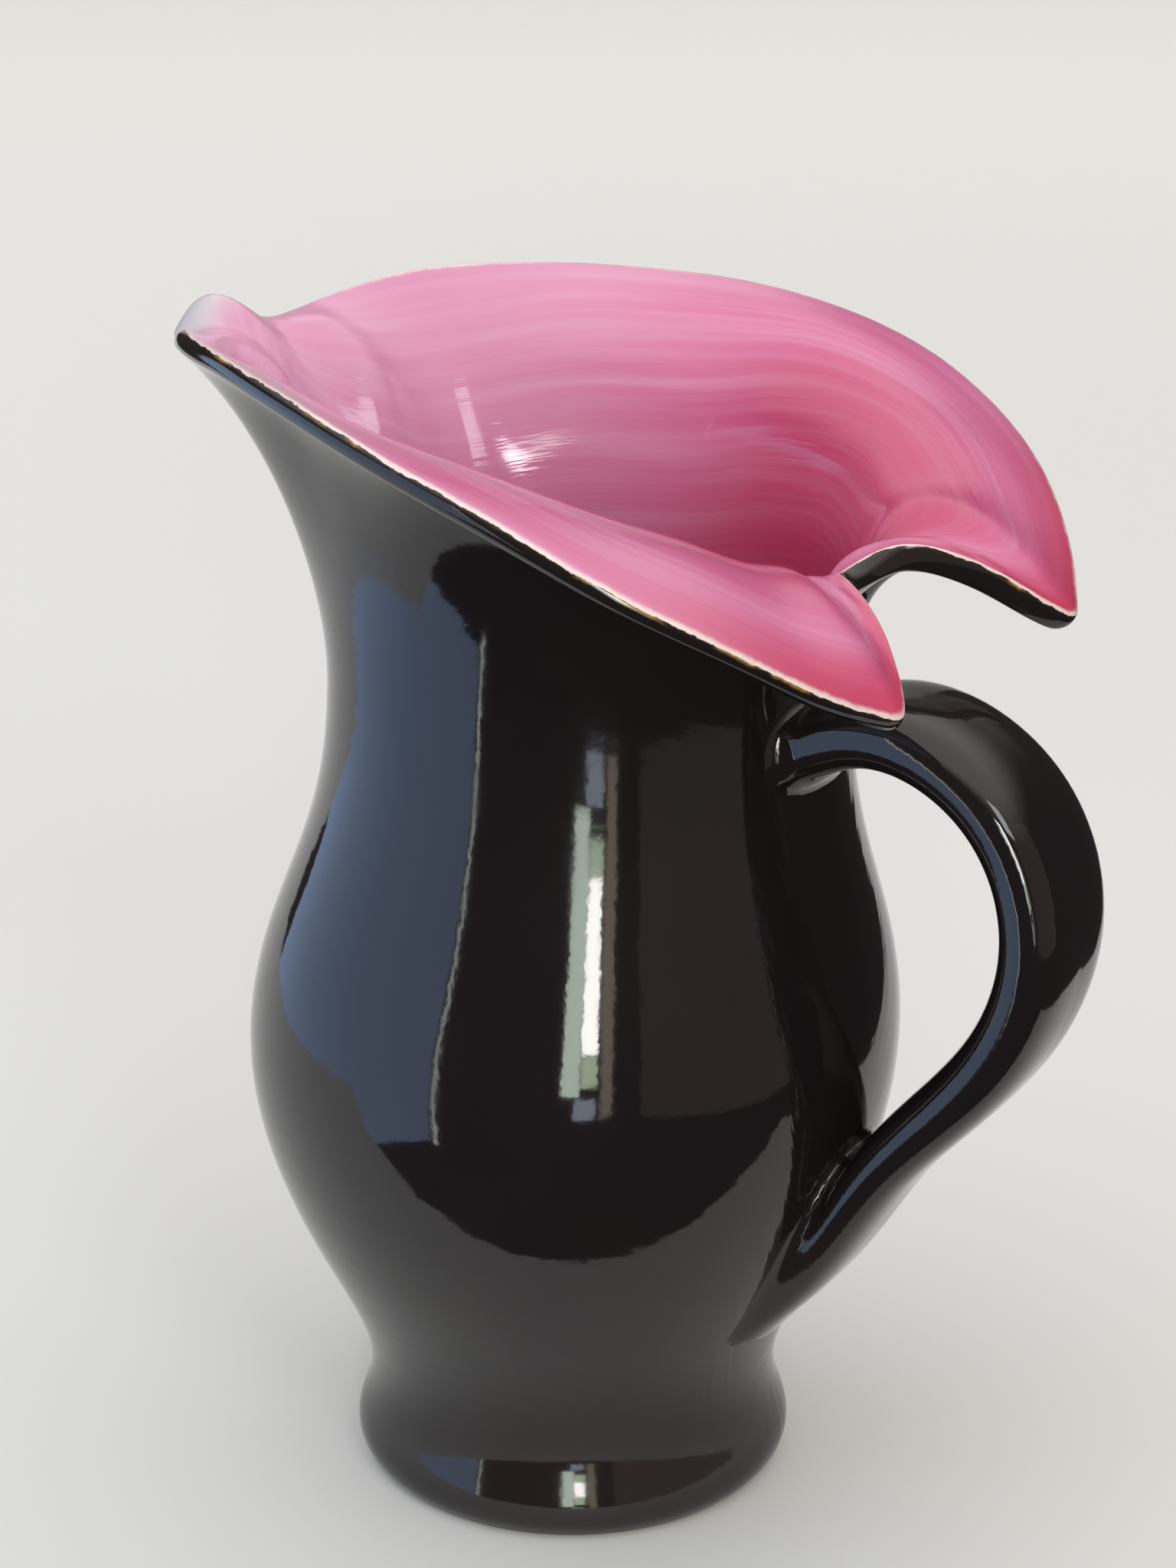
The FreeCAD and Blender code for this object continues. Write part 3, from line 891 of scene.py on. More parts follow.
class Sheet:
    """A short way of writing one node tree."""

    def __init__(self, tree: bpy.types.NodeTree) -> None:
        """Start from an empty tree."""
        self.tree = tree
        tree.nodes.clear()

    def node(self, kind: str, inputs: Optional[dict] = None,
             **settings: object) -> bpy.types.Node:
        """Add a node, set its options and feed its inputs with values or other sockets.

        Args:
            kind: Blender's name of the node type.
            inputs: A value or an output socket for each input, by name or number.
            settings: Options of the node itself.

        Returns:
            The node.
        """
        made = self.tree.nodes.new(kind)
        for key, value in settings.items():
            setattr(made, key, value)
        for key, value in (inputs or {}).items():
            if isinstance(value, Socket):
                self.tree.links.new(value, made.inputs[key])
            else:
                made.inputs[key].default_value = value
        return made

    def group(self, tree: bpy.types.NodeTree, **inputs: object) -> bpy.types.Node:
        """Add a group, with its inputs named with low lines in place of spaces."""
        named = {key.replace("_", " "): value for key, value in inputs.items()}
        return self.node("ShaderNodeGroup", named, node_tree=tree)

    def spot(self, output: str = "Object") -> Socket:
        """Return the place that is shaded."""
        return self.node("ShaderNodeTexCoord").outputs[output]

    def attribute(self, name: str, output: str) -> Socket:
        """Return a value stored in the mesh."""
        return self.node("ShaderNodeAttribute", attribute_name=name).outputs[output]

    def axis(self, vector: Socket, number: int) -> Socket:
        """Return one part of a vector."""
        return self.node("ShaderNodeSeparateXYZ", {0: vector}).outputs[number]

    def math(self, operation: str, first: object, second: object) -> Socket:
        """Return the result of one sum on two values."""
        made = self.node("ShaderNodeMath", {0: first, 1: second}, operation=operation)
        return made.outputs[0]

    def times(self, first: object, second: object) -> Socket:
        """Return the product of two values."""
        return self.math("MULTIPLY", first, second)

    def ramp(self, value: Socket, low: float, high: float, start: float = 0.0,
             end: float = 1.0) -> Socket:
        """Return a value carried smoothly from one range to another.

        Args:
            value: The value that is carried over.
            low: The start of its range.
            high: The end of its range.
            start: What the start becomes.
            end: What the end becomes.

        Returns:
            The new value.
        """
        return self.node("ShaderNodeMapRange", {
            "Value": value, "From Min": low, "From Max": high, "To Min": start, "To Max": end},
            interpolation_type="SMOOTHSTEP").outputs["Result"]

    def blend(self, share: Socket, first: object, second: object) -> Socket:
        """Return a colour mixed from two.

        Args:
            share: How much of the second colour shows, from 0 to 1.
            first: The first colour.
            second: The second colour.

        Returns:
            The mixed colour.
        """
        made = self.node("ShaderNodeMix", {}, data_type="RGBA", clamp_factor=True)
        for number, value in ((0, share), (6, first), (7, second)):
            if isinstance(value, Socket):
                self.tree.links.new(value, made.inputs[number])
            else:
                made.inputs[number].default_value = value
        return made.outputs[2]

    def lay(self, base: object, colour: object, value: Socket, wash: Wash,
            within: Optional[Socket] = None) -> Socket:
        """Return a base colour with another washed over it.

        Args:
            base: The colour below.
            colour: The colour that is laid on.
            value: The value that the wash follows.
            wash: Where it lies and how strongly.
            within: A mask that holds it in.

        Returns:
            The colour.
        """
        share = self.ramp(value, wash.start, wash.end)
        if within is not None:
            share = self.times(share, within)
        return self.blend(self.times(share, wash.amount), base, colour)

    def noise(self, vector: Socket, grain: Grain) -> Socket:
        """Return a soft random value from 0 to 1.

        Args:
            vector: The place it is looked up at.
            grain: The pattern.

        Returns:
            The value.
        """
        return self.node("ShaderNodeTexNoise", {
            "Vector": vector, "Scale": grain.scale, "Detail": grain.detail,
            "Roughness": grain.rough}).outputs["Fac"]


def new_group(name: str, inputs: dict[str, tuple],
              outputs: Sequence[str]) -> tuple[bpy.types.NodeTree, Sheet, dict[str, Socket]]:
    """Return an empty shader group with its sockets.

    Args:
        name: The group's name.
        inputs: Socket type and value of each input, by name.
        outputs: Name of each output, all plain numbers.

    Returns:
        The group, the sheet that writes it and its inputs' sockets.
    """
    group = bpy.data.node_groups.new(name, "ShaderNodeTree")
    for label, (kind, value) in inputs.items():
        socket = group.interface.new_socket(name=label, in_out="INPUT", socket_type=kind)
        if value is not None:
            socket.default_value = value
    for label in outputs:
        group.interface.new_socket(name=label, in_out="OUTPUT", socket_type=FLOAT)
    sheet = Sheet(group)
    given = sheet.node("NodeGroupInput")
    return group, sheet, {label: given.outputs[label] for label in inputs}


@dataclass
class SharedGroups:
    """Effects that more than one finish uses, each built once.

    The sizes along the rim are in millimetres.
    """

    broad_grain: Grain = Grain(1.0, 2.0, 0.55)
    fine_grain: Grain = Grain(1.0, 3.0, 0.6)
    fine_stretch: tuple[float, float, float] = (2.0, 2.0, 4.0)
    broad_share: float = 0.7
    quick_grain: Grain = Grain(260.0, 4.0, 0.65)
    quick_size: float = 2.2
    slow_grain: Grain = Grain(34.0)
    slow_size: float = 1.6
    edge_softness: float = 0.12
    bare_line: Pair = (0.2, 1.7)
    patch_grain: Grain = Grain(90.0)
    patches: Pair = (0.52, 0.66)
    glow: Pair = (-0.9, 0.5)
    dot_edge: Pair = (0.03, 0.09)
    peel_grain: Grain = Grain(420.0)
    throwing: bpy.types.NodeTree = field(init=False)
    edge: bpy.types.NodeTree = field(init=False)
    pinholes: bpy.types.NodeTree = field(init=False)

    def __post_init__(self) -> None:
        """Build every shared group."""
        self.throwing = self.build_throwing()
        self.edge = self.build_edge()
        self.pinholes = self.build_pinholes()

    def build_throwing(self) -> bpy.types.NodeTree:
        """Return the group of rings left by throwing and brushing on the wheel.

        Returns:
            The group, which puts out broad streaks, fine streaks and a height.
        """
        group, sheet, given = new_group("throwing_marks", {
            "Wheel": (VECTOR, None), "Ring Scale": (FLOAT, 60.0), "Drift": (FLOAT, 1.0)},
            ("Streak", "Fine", "Height"))
        drift, scale = given["Drift"], given["Ring Scale"]
        parts = {number: sheet.times(sheet.axis(given["Wheel"], number), factor)
                 for number, factor in enumerate((drift, drift, scale))}
        path = sheet.node("ShaderNodeCombineXYZ", parts).outputs[0]
        closer = sheet.node("ShaderNodeVectorMath", {0: path, 1: self.fine_stretch},
                            operation="MULTIPLY").outputs[0]
        broad = sheet.noise(path, self.broad_grain)
        fine = sheet.noise(closer, self.fine_grain)
        height = sheet.math("ADD", sheet.times(broad, self.broad_share),
                            sheet.times(fine, 1.0 - self.broad_share))
        sheet.node("NodeGroupOutput", {"Streak": broad, "Fine": fine, "Height": height})
        return group

    def build_edge(self) -> bpy.types.NodeTree:
        """Return the group of masks where the black glaze breaks off along the rim.

        Returns:
            The group, which puts out masks of the inside, the bare line and the amber patches.
        """
        group, sheet, given = new_group("glaze_break", {
            "Rim Distance": (FLOAT, 0.0), "Line": (FLOAT, 0.0), "Raggedness": (FLOAT, 1.0)},
            ("Inside", "Bare Line", "Amber"))
        spot = sheet.spot()
        quick, slow = (
            sheet.times(sheet.math("SUBTRACT", sheet.noise(spot, grain), 0.5), size)
            for grain, size in ((self.quick_grain, self.quick_size),
                                (self.slow_grain, self.slow_size)))
        moved = sheet.math(
            "ADD", sheet.math("SUBTRACT", given["Rim Distance"], given["Line"]),
            sheet.times(sheet.math("ADD", quick, slow), given["Raggedness"]))
        inside = sheet.ramp(moved, -self.edge_softness, self.edge_softness)
        bare = sheet.times(inside, sheet.ramp(moved, *self.bare_line, 1.0, 0.0))
        patch = sheet.ramp(sheet.noise(spot, self.patch_grain), *self.patches)
        before, after = self.glow
        glow = sheet.times(sheet.ramp(moved, before, 0.0), sheet.ramp(moved, 0.0, after, 1.0, 0.0))
        sheet.node("NodeGroupOutput", {"Inside": inside, "Bare Line": bare,
                                       "Amber": sheet.times(patch, glow)})
        return group

    def build_pinholes(self) -> bpy.types.NodeTree:
        """Return the group of small specks and pinholes in a glaze.

        Returns:
            The group, which puts out the specks and a fine ripple.
        """
        group, sheet, given = new_group("glaze_specks", {
            "Spacing": (FLOAT, 140.0), "Amount": (FLOAT, 0.06)}, ("Speck", "Orange Peel"))
        spot = sheet.spot()
        cells = sheet.node("ShaderNodeTexVoronoi", {"Vector": spot, "Scale": given["Spacing"]})
        chosen = sheet.math("LESS_THAN", cells.outputs["Color"], given["Amount"])
        dot = sheet.ramp(cells.outputs["Distance"], *self.dot_edge, 1.0, 0.0)
        sheet.node("NodeGroupOutput", {"Speck": sheet.times(chosen, dot),
                                       "Orange Peel": sheet.noise(spot, self.peel_grain)})
        return group


class Finish:
    """A procedural finish made of one Principled shader."""

    def inputs(self, sheet: Sheet) -> dict:
        """Return what the shader's inputs are fed with."""
        raise NotImplementedError

    def dress(self, piece: Piece) -> None:
        """Give a piece this finish.

        Args:
            piece: The piece to dress.
        """
        material = bpy.data.materials.new(piece.name + "_finish")
        material.use_nodes = True
        sheet = Sheet(material.node_tree)
        shader = sheet.node("ShaderNodeBsdfPrincipled", self.inputs(sheet))
        sheet.node("ShaderNodeOutputMaterial", {"Surface": shader.outputs[0]})
        piece.data.materials.clear()
        piece.data.materials.append(material)

    @staticmethod
    def bump(sheet: Sheet, height: Socket, strength: float, depth: float) -> Socket:
        """Return a normal that follows a height."""
        return sheet.node("ShaderNodeBump", {
            "Height": height, "Strength": strength, "Distance": depth}).outputs[0]


@dataclass(frozen=True)
class PinkGlaze(Finish):
    """Glossy pink glaze, brushed on the wheel, paler where it lies thin, with painted sheen
    towards the lip and on the spout tongue and painted shade deep in the neck and on the
    handle side.

    Washes over the depth run in millimetres from the rim, those over the reach in metres
    along X.
    """

    groups: SharedGroups
    mid: Colour = (0.66, 0.14, 0.315, 1.0)
    pale: Colour = (0.80, 0.45, 0.65, 1.0)
    deep: Colour = (0.48, 0.028, 0.10, 1.0)
    red: Colour = (0.57, 0.040, 0.10, 1.0)
    bare_line: Colour = (0.86, 0.72, 0.68, 1.0)
    # Painted sheen: the pale colour laid on the upturned spout tongue.
    tongue_sheen: Colour = (0.72, 0.66, 0.66, 1.0)
    roughness: float = 0.10
    ior: float = 1.5
    brush_scale: float = 18.0
    brush_drift: float = 0.45
    cloud_grain: Grain = Grain(9.0)
    relief_scale: float = 12.0
    relief_strength: float = 0.25
    relief_depth: float = 0.0015
    streaks: Wash = Wash(0.38, 0.80, 0.50)
    fine_streaks: Wash = Wash(0.45, 0.75, 0.11)
    dark_streaks: Wash = Wash(0.44, 0.24, 0.22)
    clouds: Wash = Wash(0.38, 0.68, 0.30)
    # Painted shade: the pink darkens deeper down the neck, away from the rim.
    neck_shade: Wash = Wash(42.0, 105.0, 0.88)
    # Painted sheen: the pink turns paler towards the lip side.
    lip_side_sheen: Wash = Wash(0.035, -0.055, 0.40)
    # Painted shade: the pink darkens towards the handle side, from a little below the rim down.
    handle_side_shade: Wash = Wash(-0.02, 0.03, 0.72)
    handle_shade_depth: Wash = Wash(10.0, 40.0)
    lobes: Wash = Wash(0.045, 0.095, 0.85)
    lobe_depth: Wash = Wash(22.0, 2.0)
    # Painted sheen: the spout tongue turns pale and greyish.
    spout: Wash = Wash(-0.078, -0.090, 0.9)

    def colour(self, sheet: Sheet) -> Socket:
        """Return the colour of the brushed glaze, with its painted sheen and painted shade.

        Args:
            sheet: The sheet of the material that uses it.

        Returns:
            The socket that holds the colour.
        """
        spot, depth = sheet.spot(), sheet.attribute(RIM, "Fac")
        marks = sheet.group(self.groups.throwing, Wheel=sheet.attribute(WHEEL, "Vector"),
                            Ring_Scale=self.brush_scale, Drift=self.brush_drift)
        streak, fine = marks.outputs["Streak"], marks.outputs["Fine"]
        reach = sheet.axis(spot, 0)
        # The first mask holds the painted shade on the handle side below the rim; near_rim holds
        # the redder glaze at the lobes.
        in_handle_shade, near_rim = (sheet.ramp(depth, wash.start, wash.end)
                               for wash in (self.handle_shade_depth, self.lobe_depth))
        base = self.mid
        for value, wash, colour, within in (
                (streak, self.streaks, self.pale, None),
                (fine, self.fine_streaks, self.pale, None),
                (streak, self.dark_streaks, self.deep, None),
                (sheet.noise(spot, self.cloud_grain), self.clouds, self.pale, None),
                # painted shade deep in the neck
                (depth, self.neck_shade, self.deep, None),
                # painted sheen towards the lip side
                (reach, self.lip_side_sheen, self.pale, None),
                # painted shade on the handle side
                (reach, self.handle_side_shade, self.deep, in_handle_shade),
                (reach, self.lobes, self.red, near_rim),
                # painted sheen on the spout tongue
                (reach, self.spout, self.tongue_sheen, None)):
            base = sheet.lay(base, colour, value, wash, within)
        return base

    def inputs(self, sheet: Sheet) -> dict:
        """Return what the shader's inputs are fed with.

        Args:
            sheet: The sheet of the material.

        Returns:
            A value or a socket for each input, by name.
        """
        marks = sheet.group(self.groups.throwing, Wheel=sheet.attribute(WHEEL, "Vector"),
                            Ring_Scale=self.relief_scale)
        normal = self.bump(sheet, marks.outputs["Height"], self.relief_strength,
                           self.relief_depth)
        return {"Base Color": self.colour(sheet), "Roughness": self.roughness,
                "Normal": normal, "IOR": self.ior}


@dataclass(frozen=True)
class BlackGlaze(Finish):
    """Glossy black glaze, thin and amber where it breaks over the rim."""

    groups: SharedGroups
    pink: PinkGlaze
    over_rim: bool
    colour: Colour = (0.011, 0.008, 0.009, 1.0)
    thin_colour: Colour = (0.035, 0.026, 0.018, 1.0)
    amber: Colour = (0.42, 0.22, 0.05, 1.0)
    roughness: Pair = (0.056, 0.105)
    ior: float = 1.52
    ring_scale: float = 9.0
    ripple: float = 0.12
    relief_strength: float = 0.08
    relief_depth: float = 0.0018
    speck_spacing: float = 95.0
    speck_amount: float = 0.05
    pool_grain: Grain = Grain(14.0, 3.0, 0.55)
    pools: Wash = Wash(0.35, 0.75, 0.18)
    haze_grain: Grain = Grain(30.0)
    haze: Pair = (0.3, 0.8)
    worn: Wash = Wash(-1.4, -0.2, 0.5)
    break_line: float = -0.2
    break_raggedness: float = 0.8

    def rim_colour(self, sheet: Sheet, base: Socket) -> Socket:
        """Return the colour with the pink beginning inside the rim.

        Args:
            sheet: The sheet of the material.
            base: The black glaze's own colour.

        Returns:
            The colour with the worn edge, the amber, the pink and the bare line.
        """
        distance = sheet.attribute(RIM, "Fac")
        edge = sheet.group(self.groups.edge, Rim_Distance=distance, Line=self.break_line,
                           Raggedness=self.break_raggedness)
        base = sheet.lay(base, self.thin_colour, distance, self.worn)
        for mask, colour in (("Amber", self.amber), ("Inside", self.pink.colour(sheet)),
                             ("Bare Line", self.pink.bare_line)):
            base = sheet.blend(edge.outputs[mask], base, colour)
        return base

    def inputs(self, sheet: Sheet) -> dict:
        """Return what the shader's inputs are fed with.

        Args:
            sheet: The sheet of the material.

        Returns:
            A value or a socket for each input, by name.
        """
        spot = sheet.spot()
        marks = sheet.group(self.groups.throwing, Wheel=sheet.attribute(WHEEL, "Vector"),
                            Ring_Scale=self.ring_scale)
        specks = sheet.group(self.groups.pinholes, Spacing=self.speck_spacing,
                             Amount=self.speck_amount)
        pooled = sheet.noise(spot, self.pool_grain)
        base = sheet.lay(self.colour, self.thin_colour, pooled, self.pools)
        base = sheet.blend(specks.outputs["Speck"], base, self.amber)
        if self.over_rim:
            base = self.rim_colour(sheet, base)
        height = sheet.math("ADD", marks.outputs["Streak"],
                            sheet.times(specks.outputs["Orange Peel"], self.ripple))
        normal = self.bump(sheet, height, self.relief_strength, self.relief_depth)
        rough = sheet.ramp(sheet.noise(spot, self.haze_grain), *self.haze, *self.roughness)
        return {"Base Color": base, "Roughness": rough, "Normal": normal, "IOR": self.ior}


@dataclass(frozen=True)
class FiredClay(Finish):
    """Dry, bare, fired clay of the stand ring and the base."""

    colour: Colour = (0.46, 0.33, 0.22, 1.0)
    grit: Colour = (0.24, 0.15, 0.09, 1.0)
    roughness: float = 0.85
    grit_grain: Grain = Grain(500.0, 4.0, 0.6)
    stain_grain: Grain = Grain(40.0, 3.0)
    grains: Wash = Wash(0.45, 0.7)
    stains: Wash = Wash(0.5, 0.8, 0.4)
    relief_strength: float = 0.3
    relief_depth: float = 0.0004

    def inputs(self, sheet: Sheet) -> dict:
        """Return what the shader's inputs are fed with.

        Args:
            sheet: The sheet of the material.

        Returns:
            A value or a socket for each input, by name.
        """
        spot = sheet.spot()
        grain, stain = sheet.noise(spot, self.grit_grain), sheet.noise(spot, self.stain_grain)
        base = sheet.lay(self.colour, self.grit, grain, self.grains)
        base = sheet.lay(base, self.grit, stain, self.stains)
        normal = self.bump(sheet, grain, self.relief_strength, self.relief_depth)
        return {"Base Color": base, "Roughness": self.roughness, "Normal": normal}


@dataclass(frozen=True)
class PalePaper(Finish):
    """The plain pale surface of the table and the backdrop, with painted shade that makes it a
    little darker near the jug.
    """

    shaded_near_colour: Colour = (0.76, 0.755, 0.74, 1.0)
    far_colour: Colour = (0.91, 0.905, 0.89, 1.0)
    # Painted shade: the paper is darker near the jug and brightens over a few metres.
    spread: Wash = Wash(0.1, 2.8)
    roughness: float = 0.7

    def inputs(self, sheet: Sheet) -> dict:
        """Return what the shader's inputs are fed with.

        Args:
            sheet: The sheet of the material.

        Returns:
            A value or a socket for each input, by name.
        """
        away = sheet.node("ShaderNodeVectorMath", {0: sheet.spot()}, operation="LENGTH")
        base = sheet.lay(self.shaded_near_colour, self.far_colour, away.outputs["Value"], self.spread)
        return {"Base Color": base, "Roughness": self.roughness}


@dataclass
class GlazedBody:
    """The clay body with its black coat outside and its pink coat inside."""

    form: JugForm
    grid: SkinGrid
    coat: float = 0.4
    clay_gap: float = 0.45
    recess_radius: float = 35.0
    recess_depth: float = 2.5
    wheel_length: float = 100.0

    def coat_piece(self, name: str, picked: slice, closed_end: bool) -> Piece:
        """Return one coat of glaze over a run of the skin's rings.

        Args:
            name: The piece's name.
            picked: The run of rings that it covers.
            closed_end: Whether the run ends in the floor.

        Returns:
            The coat as a closed piece.
        """
        grid = self.grid
        points = grid.points
        angle = np.arctan2(points[..., 1], points[..., 0] - self.form.lean_at(points[..., 2]))
        wheel = level_ways(angle)
        wheel[..., 2] = grid.rim / self.wheel_length
        outer = points[:, picked]
        inner = outer - grid_normals(points)[:, picked] * self.coat
        if closed_end:
            inner[:, -1] = outer[:, -1] - UP * self.coat
        return shell_piece(name, outer, inner, wheel[:, picked], grid.rim[:, picked], closed_end)

    def clay_body(self) -> Piece:
        """Return the bare clay body with its stand ring and recessed base.

        Returns:
            The body as a closed piece.
        """
        grid = self.grid.points[::2, ::2]
        points = grid - grid_normals(grid) * self.clay_gap
        points[:, 0] = grid[:, 0] * LEVEL * (1.0 - self.clay_gap / self.form.stand_radius)
        ring = level_ways(np.arctan2(grid[:, 0, 1], grid[:, 0, 0]))[:, None]
        deep = UP * self.recess_depth
        loop = np.concatenate([ring * (self.recess_radius - self.recess_depth) + deep,
                               ring * self.recess_radius, points], axis=1)
        rows, columns = loop.shape[:2]
        faces = strip_faces(rows, columns, False)
        centre = rows * columns
        flat = np.concatenate([loop.reshape(-1, 3), [deep, points[:, -1].mean(axis=0)]])
        for row in range(rows):
            here, after = row * columns, (row + 1) % rows * columns
            faces += [(after, here, centre),
                      (here + columns - 1, after + columns - 1, centre + 1)]
        return make_piece("clay_body", flat, faces)

    def build(self, groups: SharedGroups) -> list[Piece]:
        """Build, dress and place the three pieces of the body.

        Args:
            groups: The effects that the finishes share.

        Returns:
            The black coat, the pink coat and the clay.
        """
        foot, handover = self.grid.foot_edge, self.grid.handover
        black = self.coat_piece("black_coat", slice(foot, handover + 1), False)
        pink = self.coat_piece("pink_coat", slice(handover, None), True)
        clay = self.clay_body()
        glaze = PinkGlaze(groups)
        for piece, finish, node, slot in (
                (black, BlackGlaze(groups, glaze, True), "black_body_glaze", Slot.BLACK_GLAZE),
                (pink, glaze, "pink_inner_glaze", Slot.PINK_GLAZE),
                (clay, FiredClay(), "body_wall", Slot.BARE_CLAY)):
            finish.dress(piece)
            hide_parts(node)
            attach(piece, "root")
        return [black, pink, clay]


@dataclass
class GlazedHandle:
    """The strap handle under its black glaze, smoothed into the body at both roots."""

    form: HandleForm
    bury: float = 2.5
    dip: float = 0.08
    skirt: float = 1.5
    cell: float = 1.2
    margin: float = 12.0

    def field_at(self, points: np.ndarray) -> np.ndarray:
        """Return how far points lie outside the handle and its fillets.

        Args:
            points: Places in rows, in millimetres.

        Returns:
            The distances, below zero inside.
        """
        form = self.form
        body, strap = form.body.outside_distance(points), form.outside_distance(points)
        rise = (points[:, 2] - form.elbow[1]) / (form.root_height - form.elbow[1])
        reach = mix(form.lower_fillet, form.upper_fillet, smooth_step(rise))
        joined = smooth_union(body + self.dip, strap, reach)
        return np.maximum(np.maximum(joined, -body - self.bury), strap - reach - self.skirt)

    def build(self, groups: SharedGroups) -> list[Piece]:
        """Build, dress and place the handle.

        Args:
            groups: The effects that the finishes share.

        Returns:
            The handle, alone in a list.
        """
        room = self.margin + SIDEWAYS * self.form.width / 2
        low, high = self.form.centres.min(axis=0) - room, self.form.centres.max(axis=0) + room
        points, faces = SurfaceNet(self.cell).build(self.field_at, low, high)
        piece = make_piece("black_handle", points, faces)
        add_attribute(piece, WHEEL, self.form.marks(points))
        BlackGlaze(groups, PinkGlaze(groups), False).dress(piece)
        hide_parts("black_handle_glaze", "handle_strap", "upper_luting", "lower_luting")
        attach(piece, "root")
        return [piece]


@dataclass(frozen=True)
class Softbox:
    """One rectangular lamp, placed round the jug by azimuth, height and distance."""

    name: str
    azimuth: float
    height: float
    distance: float
    width: float
    tall: float
    watts: float
    colour: tuple[float, float, float]


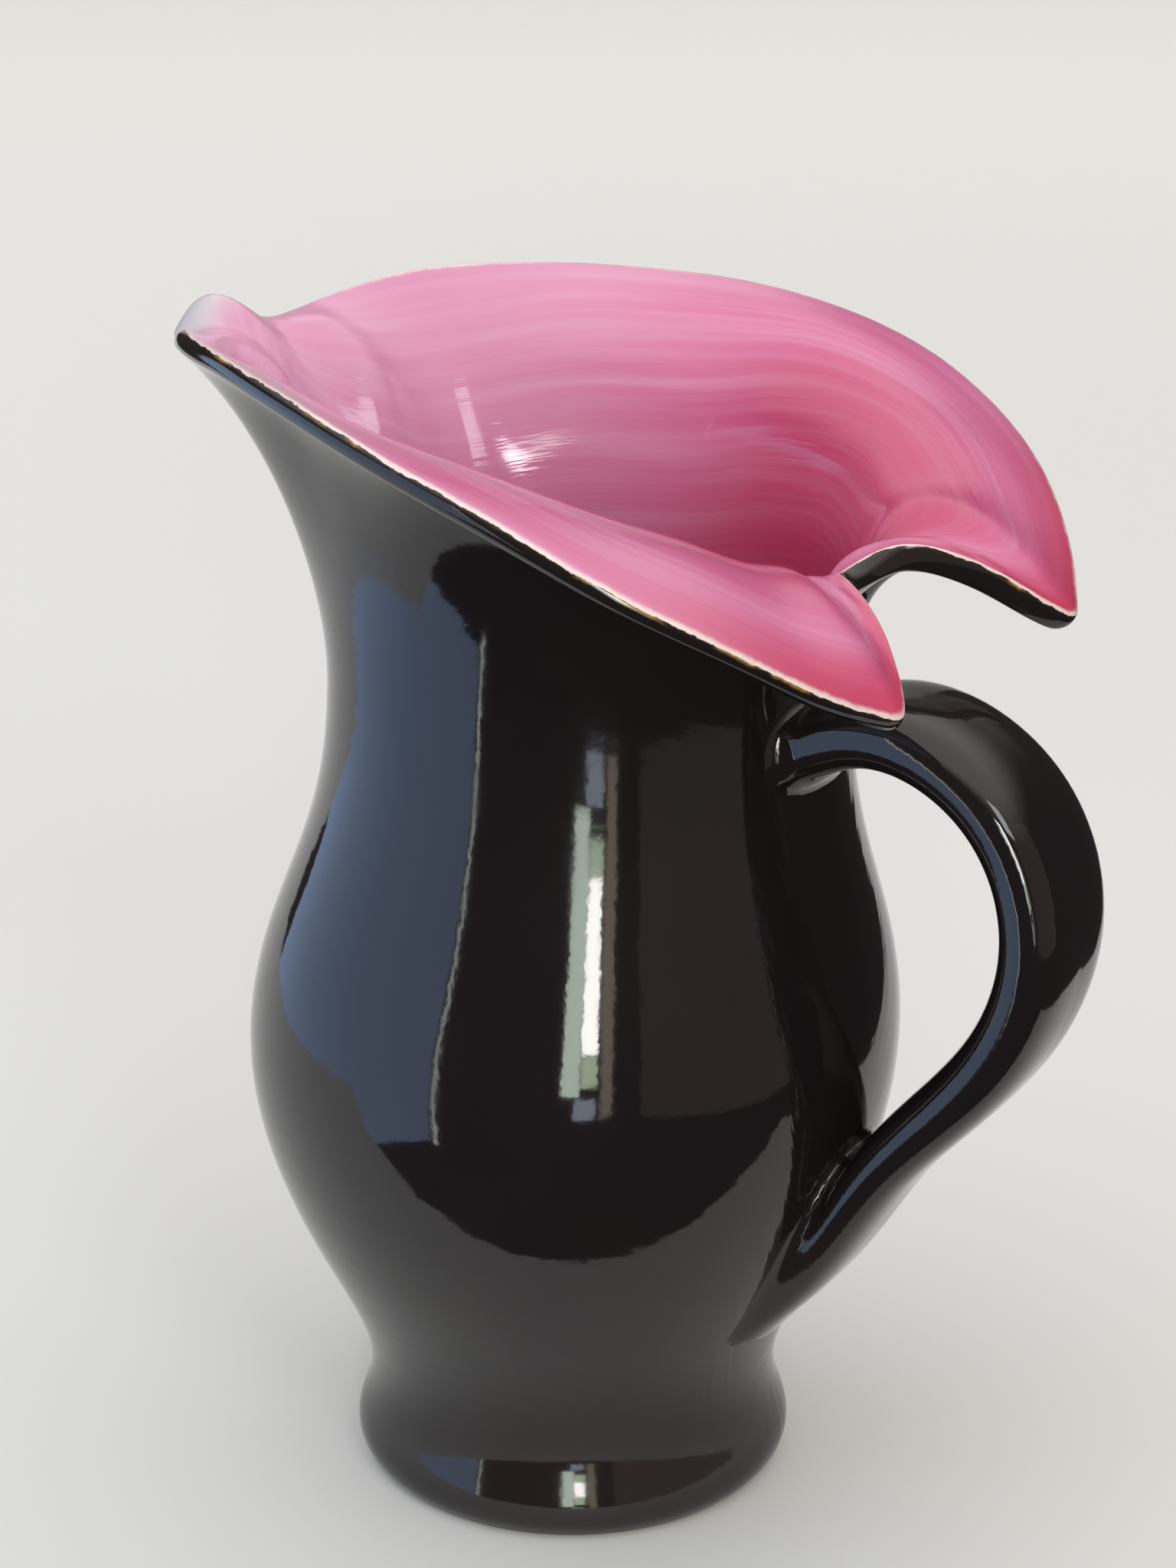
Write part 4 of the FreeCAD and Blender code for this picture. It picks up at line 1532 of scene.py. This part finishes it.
@dataclass
class Studio:
    """The pale table, the backdrop, the window lamps, the world and the camera.

    The table's left and right edges are given level with the jug and spread with the
    distance from the camera. All sizes are in metres.
    """

    ceiling: Colour = (1.36, 1.33, 1.28, 1.0)
    room: Colour = (0.045, 0.039, 0.040, 1.0)
    ceiling_rise: Wash = Wash(0.38, 0.80)
    view_azimuth: float = -58.5
    table_edge: float = 0.107
    table_left: float = 0.50
    table_right: float = 0.27
    table_spread: float = 0.20
    table_length: float = 7.0
    backdrop_distance: float = 5.5
    backdrop_height: float = 3.0
    backdrop_turn: Pair = (-0.25, 0.27)
    backdrop_steps: int = 48
    camera_place: tuple[float, float, float] = (0.3296, -0.5372, 0.3682)
    camera_aim: tuple[float, float, float] = (-0.4902, 0.8086, -0.3253)
    lens: float = 73.83
    sensor: float = 36.0
    clip: Pair = (0.01, 60.0)
    highest_aim: float = 0.3
    lamps: tuple[Softbox, ...] = (
        Softbox("left_window", -150.0, 0.05, 1.5, 2.66, 1.5, 19.5, (0.47, 0.66, 1.0)),
        Softbox("left_window_frame", -106.5, 0.10, 1.5, 0.03, 1.3, 0.7, (0.8, 0.85, 0.8)),
        Softbox("window_left_pane", -61.3, 0.23, 1.5, 0.15, 0.70, 3.1, (0.80, 0.95, 0.80)),
        Softbox("window_right_pane", -55.4, 0.45, 1.5, 0.14, 0.60, 6.0, (1.0, 1.0, 0.94)),
        Softbox("window_green_pane", -55.4, 0.05, 1.5, 0.14, 0.18, 0.60, (0.78, 0.95, 0.68)),
        Softbox("window_sill", -56.5, -0.22, 1.5, 0.18, 0.16, 0.35, (0.75, 0.85, 1.0)),
        Softbox("window_right_bar", -49.5, 0.10, 1.5, 0.10, 0.80, 0.5, (1.0, 0.86, 0.66)),
        Softbox("right_wall", -6.0, 0.35, 1.5, 1.9, 1.5, 2.3, (1.0, 0.85, 0.72)),
        Softbox("high_window", -36.0, 1.5, 2.2, 0.7, 0.7, 9.0, (0.90, 0.97, 1.0)),
    )

    def stage(self) -> None:
        """Add the pale table top, which ends near the jug, and the curved backdrop."""
        angle = np.radians(self.view_azimuth)
        towards, aside = level_ways(angle), level_ways(angle + np.pi / 2)
        corners = [towards * along + aside * side * (reach - self.table_spread * along)
                   for along, side, reach in ((self.table_edge, -1, self.table_left),
                                              (self.table_edge, 1, self.table_right),
                                              (-self.table_length, 1, self.table_right),
                                              (-self.table_length, -1, self.table_left))]
        table = make_piece("table_top", np.array(corners) * MILLIMETRES, [(0, 1, 2, 3)])
        steps = self.backdrop_steps
        turn = angle + np.pi + np.linspace(*self.backdrop_turn, steps)
        ring = level_ways(turn) * self.backdrop_distance
        wall = np.concatenate([ring, ring + UP * self.backdrop_height])
        faces = [(index, index + 1, index + steps + 1, index + steps)
                 for index in range(steps - 1)]
        backdrop = make_piece("backdrop", wall * MILLIMETRES, faces)
        for piece in (table, backdrop):
            PalePaper().dress(piece)

    def place(self, name: str, data: bpy.types.ID, spot: Vector, aim: Vector) -> Piece:
        """Add a lamp or a camera that looks along a direction.

        Args:
            name: Its name.
            data: The lamp's or the camera's own settings.
            spot: Where it stands.
            aim: The direction it looks along.

        Returns:
            The placed object.
        """
        made = bpy.data.objects.new(name, data)
        made.location = spot
        made.rotation_euler = aim.to_track_quat("-Z", "Y").to_euler()
        bpy.context.scene.collection.objects.link(made)
        return made

    def lamp(self, softbox: Softbox) -> None:
        """Add one softbox, turned towards the jug.

        Args:
            softbox: The lamp's place, size, power and colour.
        """
        light = bpy.data.lights.new(softbox.name, "AREA")
        light.shape = "RECTANGLE"
        light.size, light.size_y = softbox.width, softbox.tall
        light.energy = softbox.watts
        light.color = softbox.colour
        way = level_ways(np.radians(softbox.azimuth))
        spot = Vector(way * softbox.distance + UP * softbox.height)
        aim = Vector((0.0, 0.0, min(spot.z, self.highest_aim))) - spot
        self.place(softbox.name, light, spot, aim)

    def world(self) -> None:
        """Give the room a bright ceiling and dim walls."""
        world = bpy.data.worlds.new("room")
        world.use_nodes = True
        sheet = Sheet(world.node_tree)
        shade = sheet.lay(self.room, self.ceiling, sheet.axis(sheet.spot("Generated"), 2),
                          self.ceiling_rise)
        background = sheet.node("ShaderNodeBackground", {"Color": shade, "Strength": 1.0})
        sheet.node("ShaderNodeOutputWorld", {"Surface": background.outputs[0]})
        bpy.context.scene.world = world

    def camera(self) -> None:
        """Add the camera at the photograph's place."""
        data = bpy.data.cameras.new("camera")
        data.sensor_fit = "AUTO"
        data.sensor_width = self.sensor
        data.lens = self.lens
        data.clip_start, data.clip_end = self.clip
        bpy.context.scene.camera = self.place("camera", data, Vector(self.camera_place),
                                              Vector(self.camera_aim))

    def build(self) -> None:
        """Set up the whole studio."""
        self.stage()
        for softbox in self.lamps:
            self.lamp(softbox)
        self.world()
        self.camera()


def main() -> None:
    """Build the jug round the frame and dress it."""
    logging.basicConfig(level=logging.INFO, format="%(name)s: %(message)s")
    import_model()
    bpy.context.scene.view_settings.view_transform = "Standard"
    groups = SharedGroups()
    form = JugForm()
    handle = HandleForm(form)
    pieces = GlazedBody(form, SkinGrid(form)).build(groups)
    pieces += GlazedHandle(handle).build(groups)
    Studio().build()
    for piece in pieces:
        LOG.info("%s has %d faces", piece.name, len(piece.data.polygons))
    bpy.context.view_layer.update()


if __name__ == "__main__":
    main()
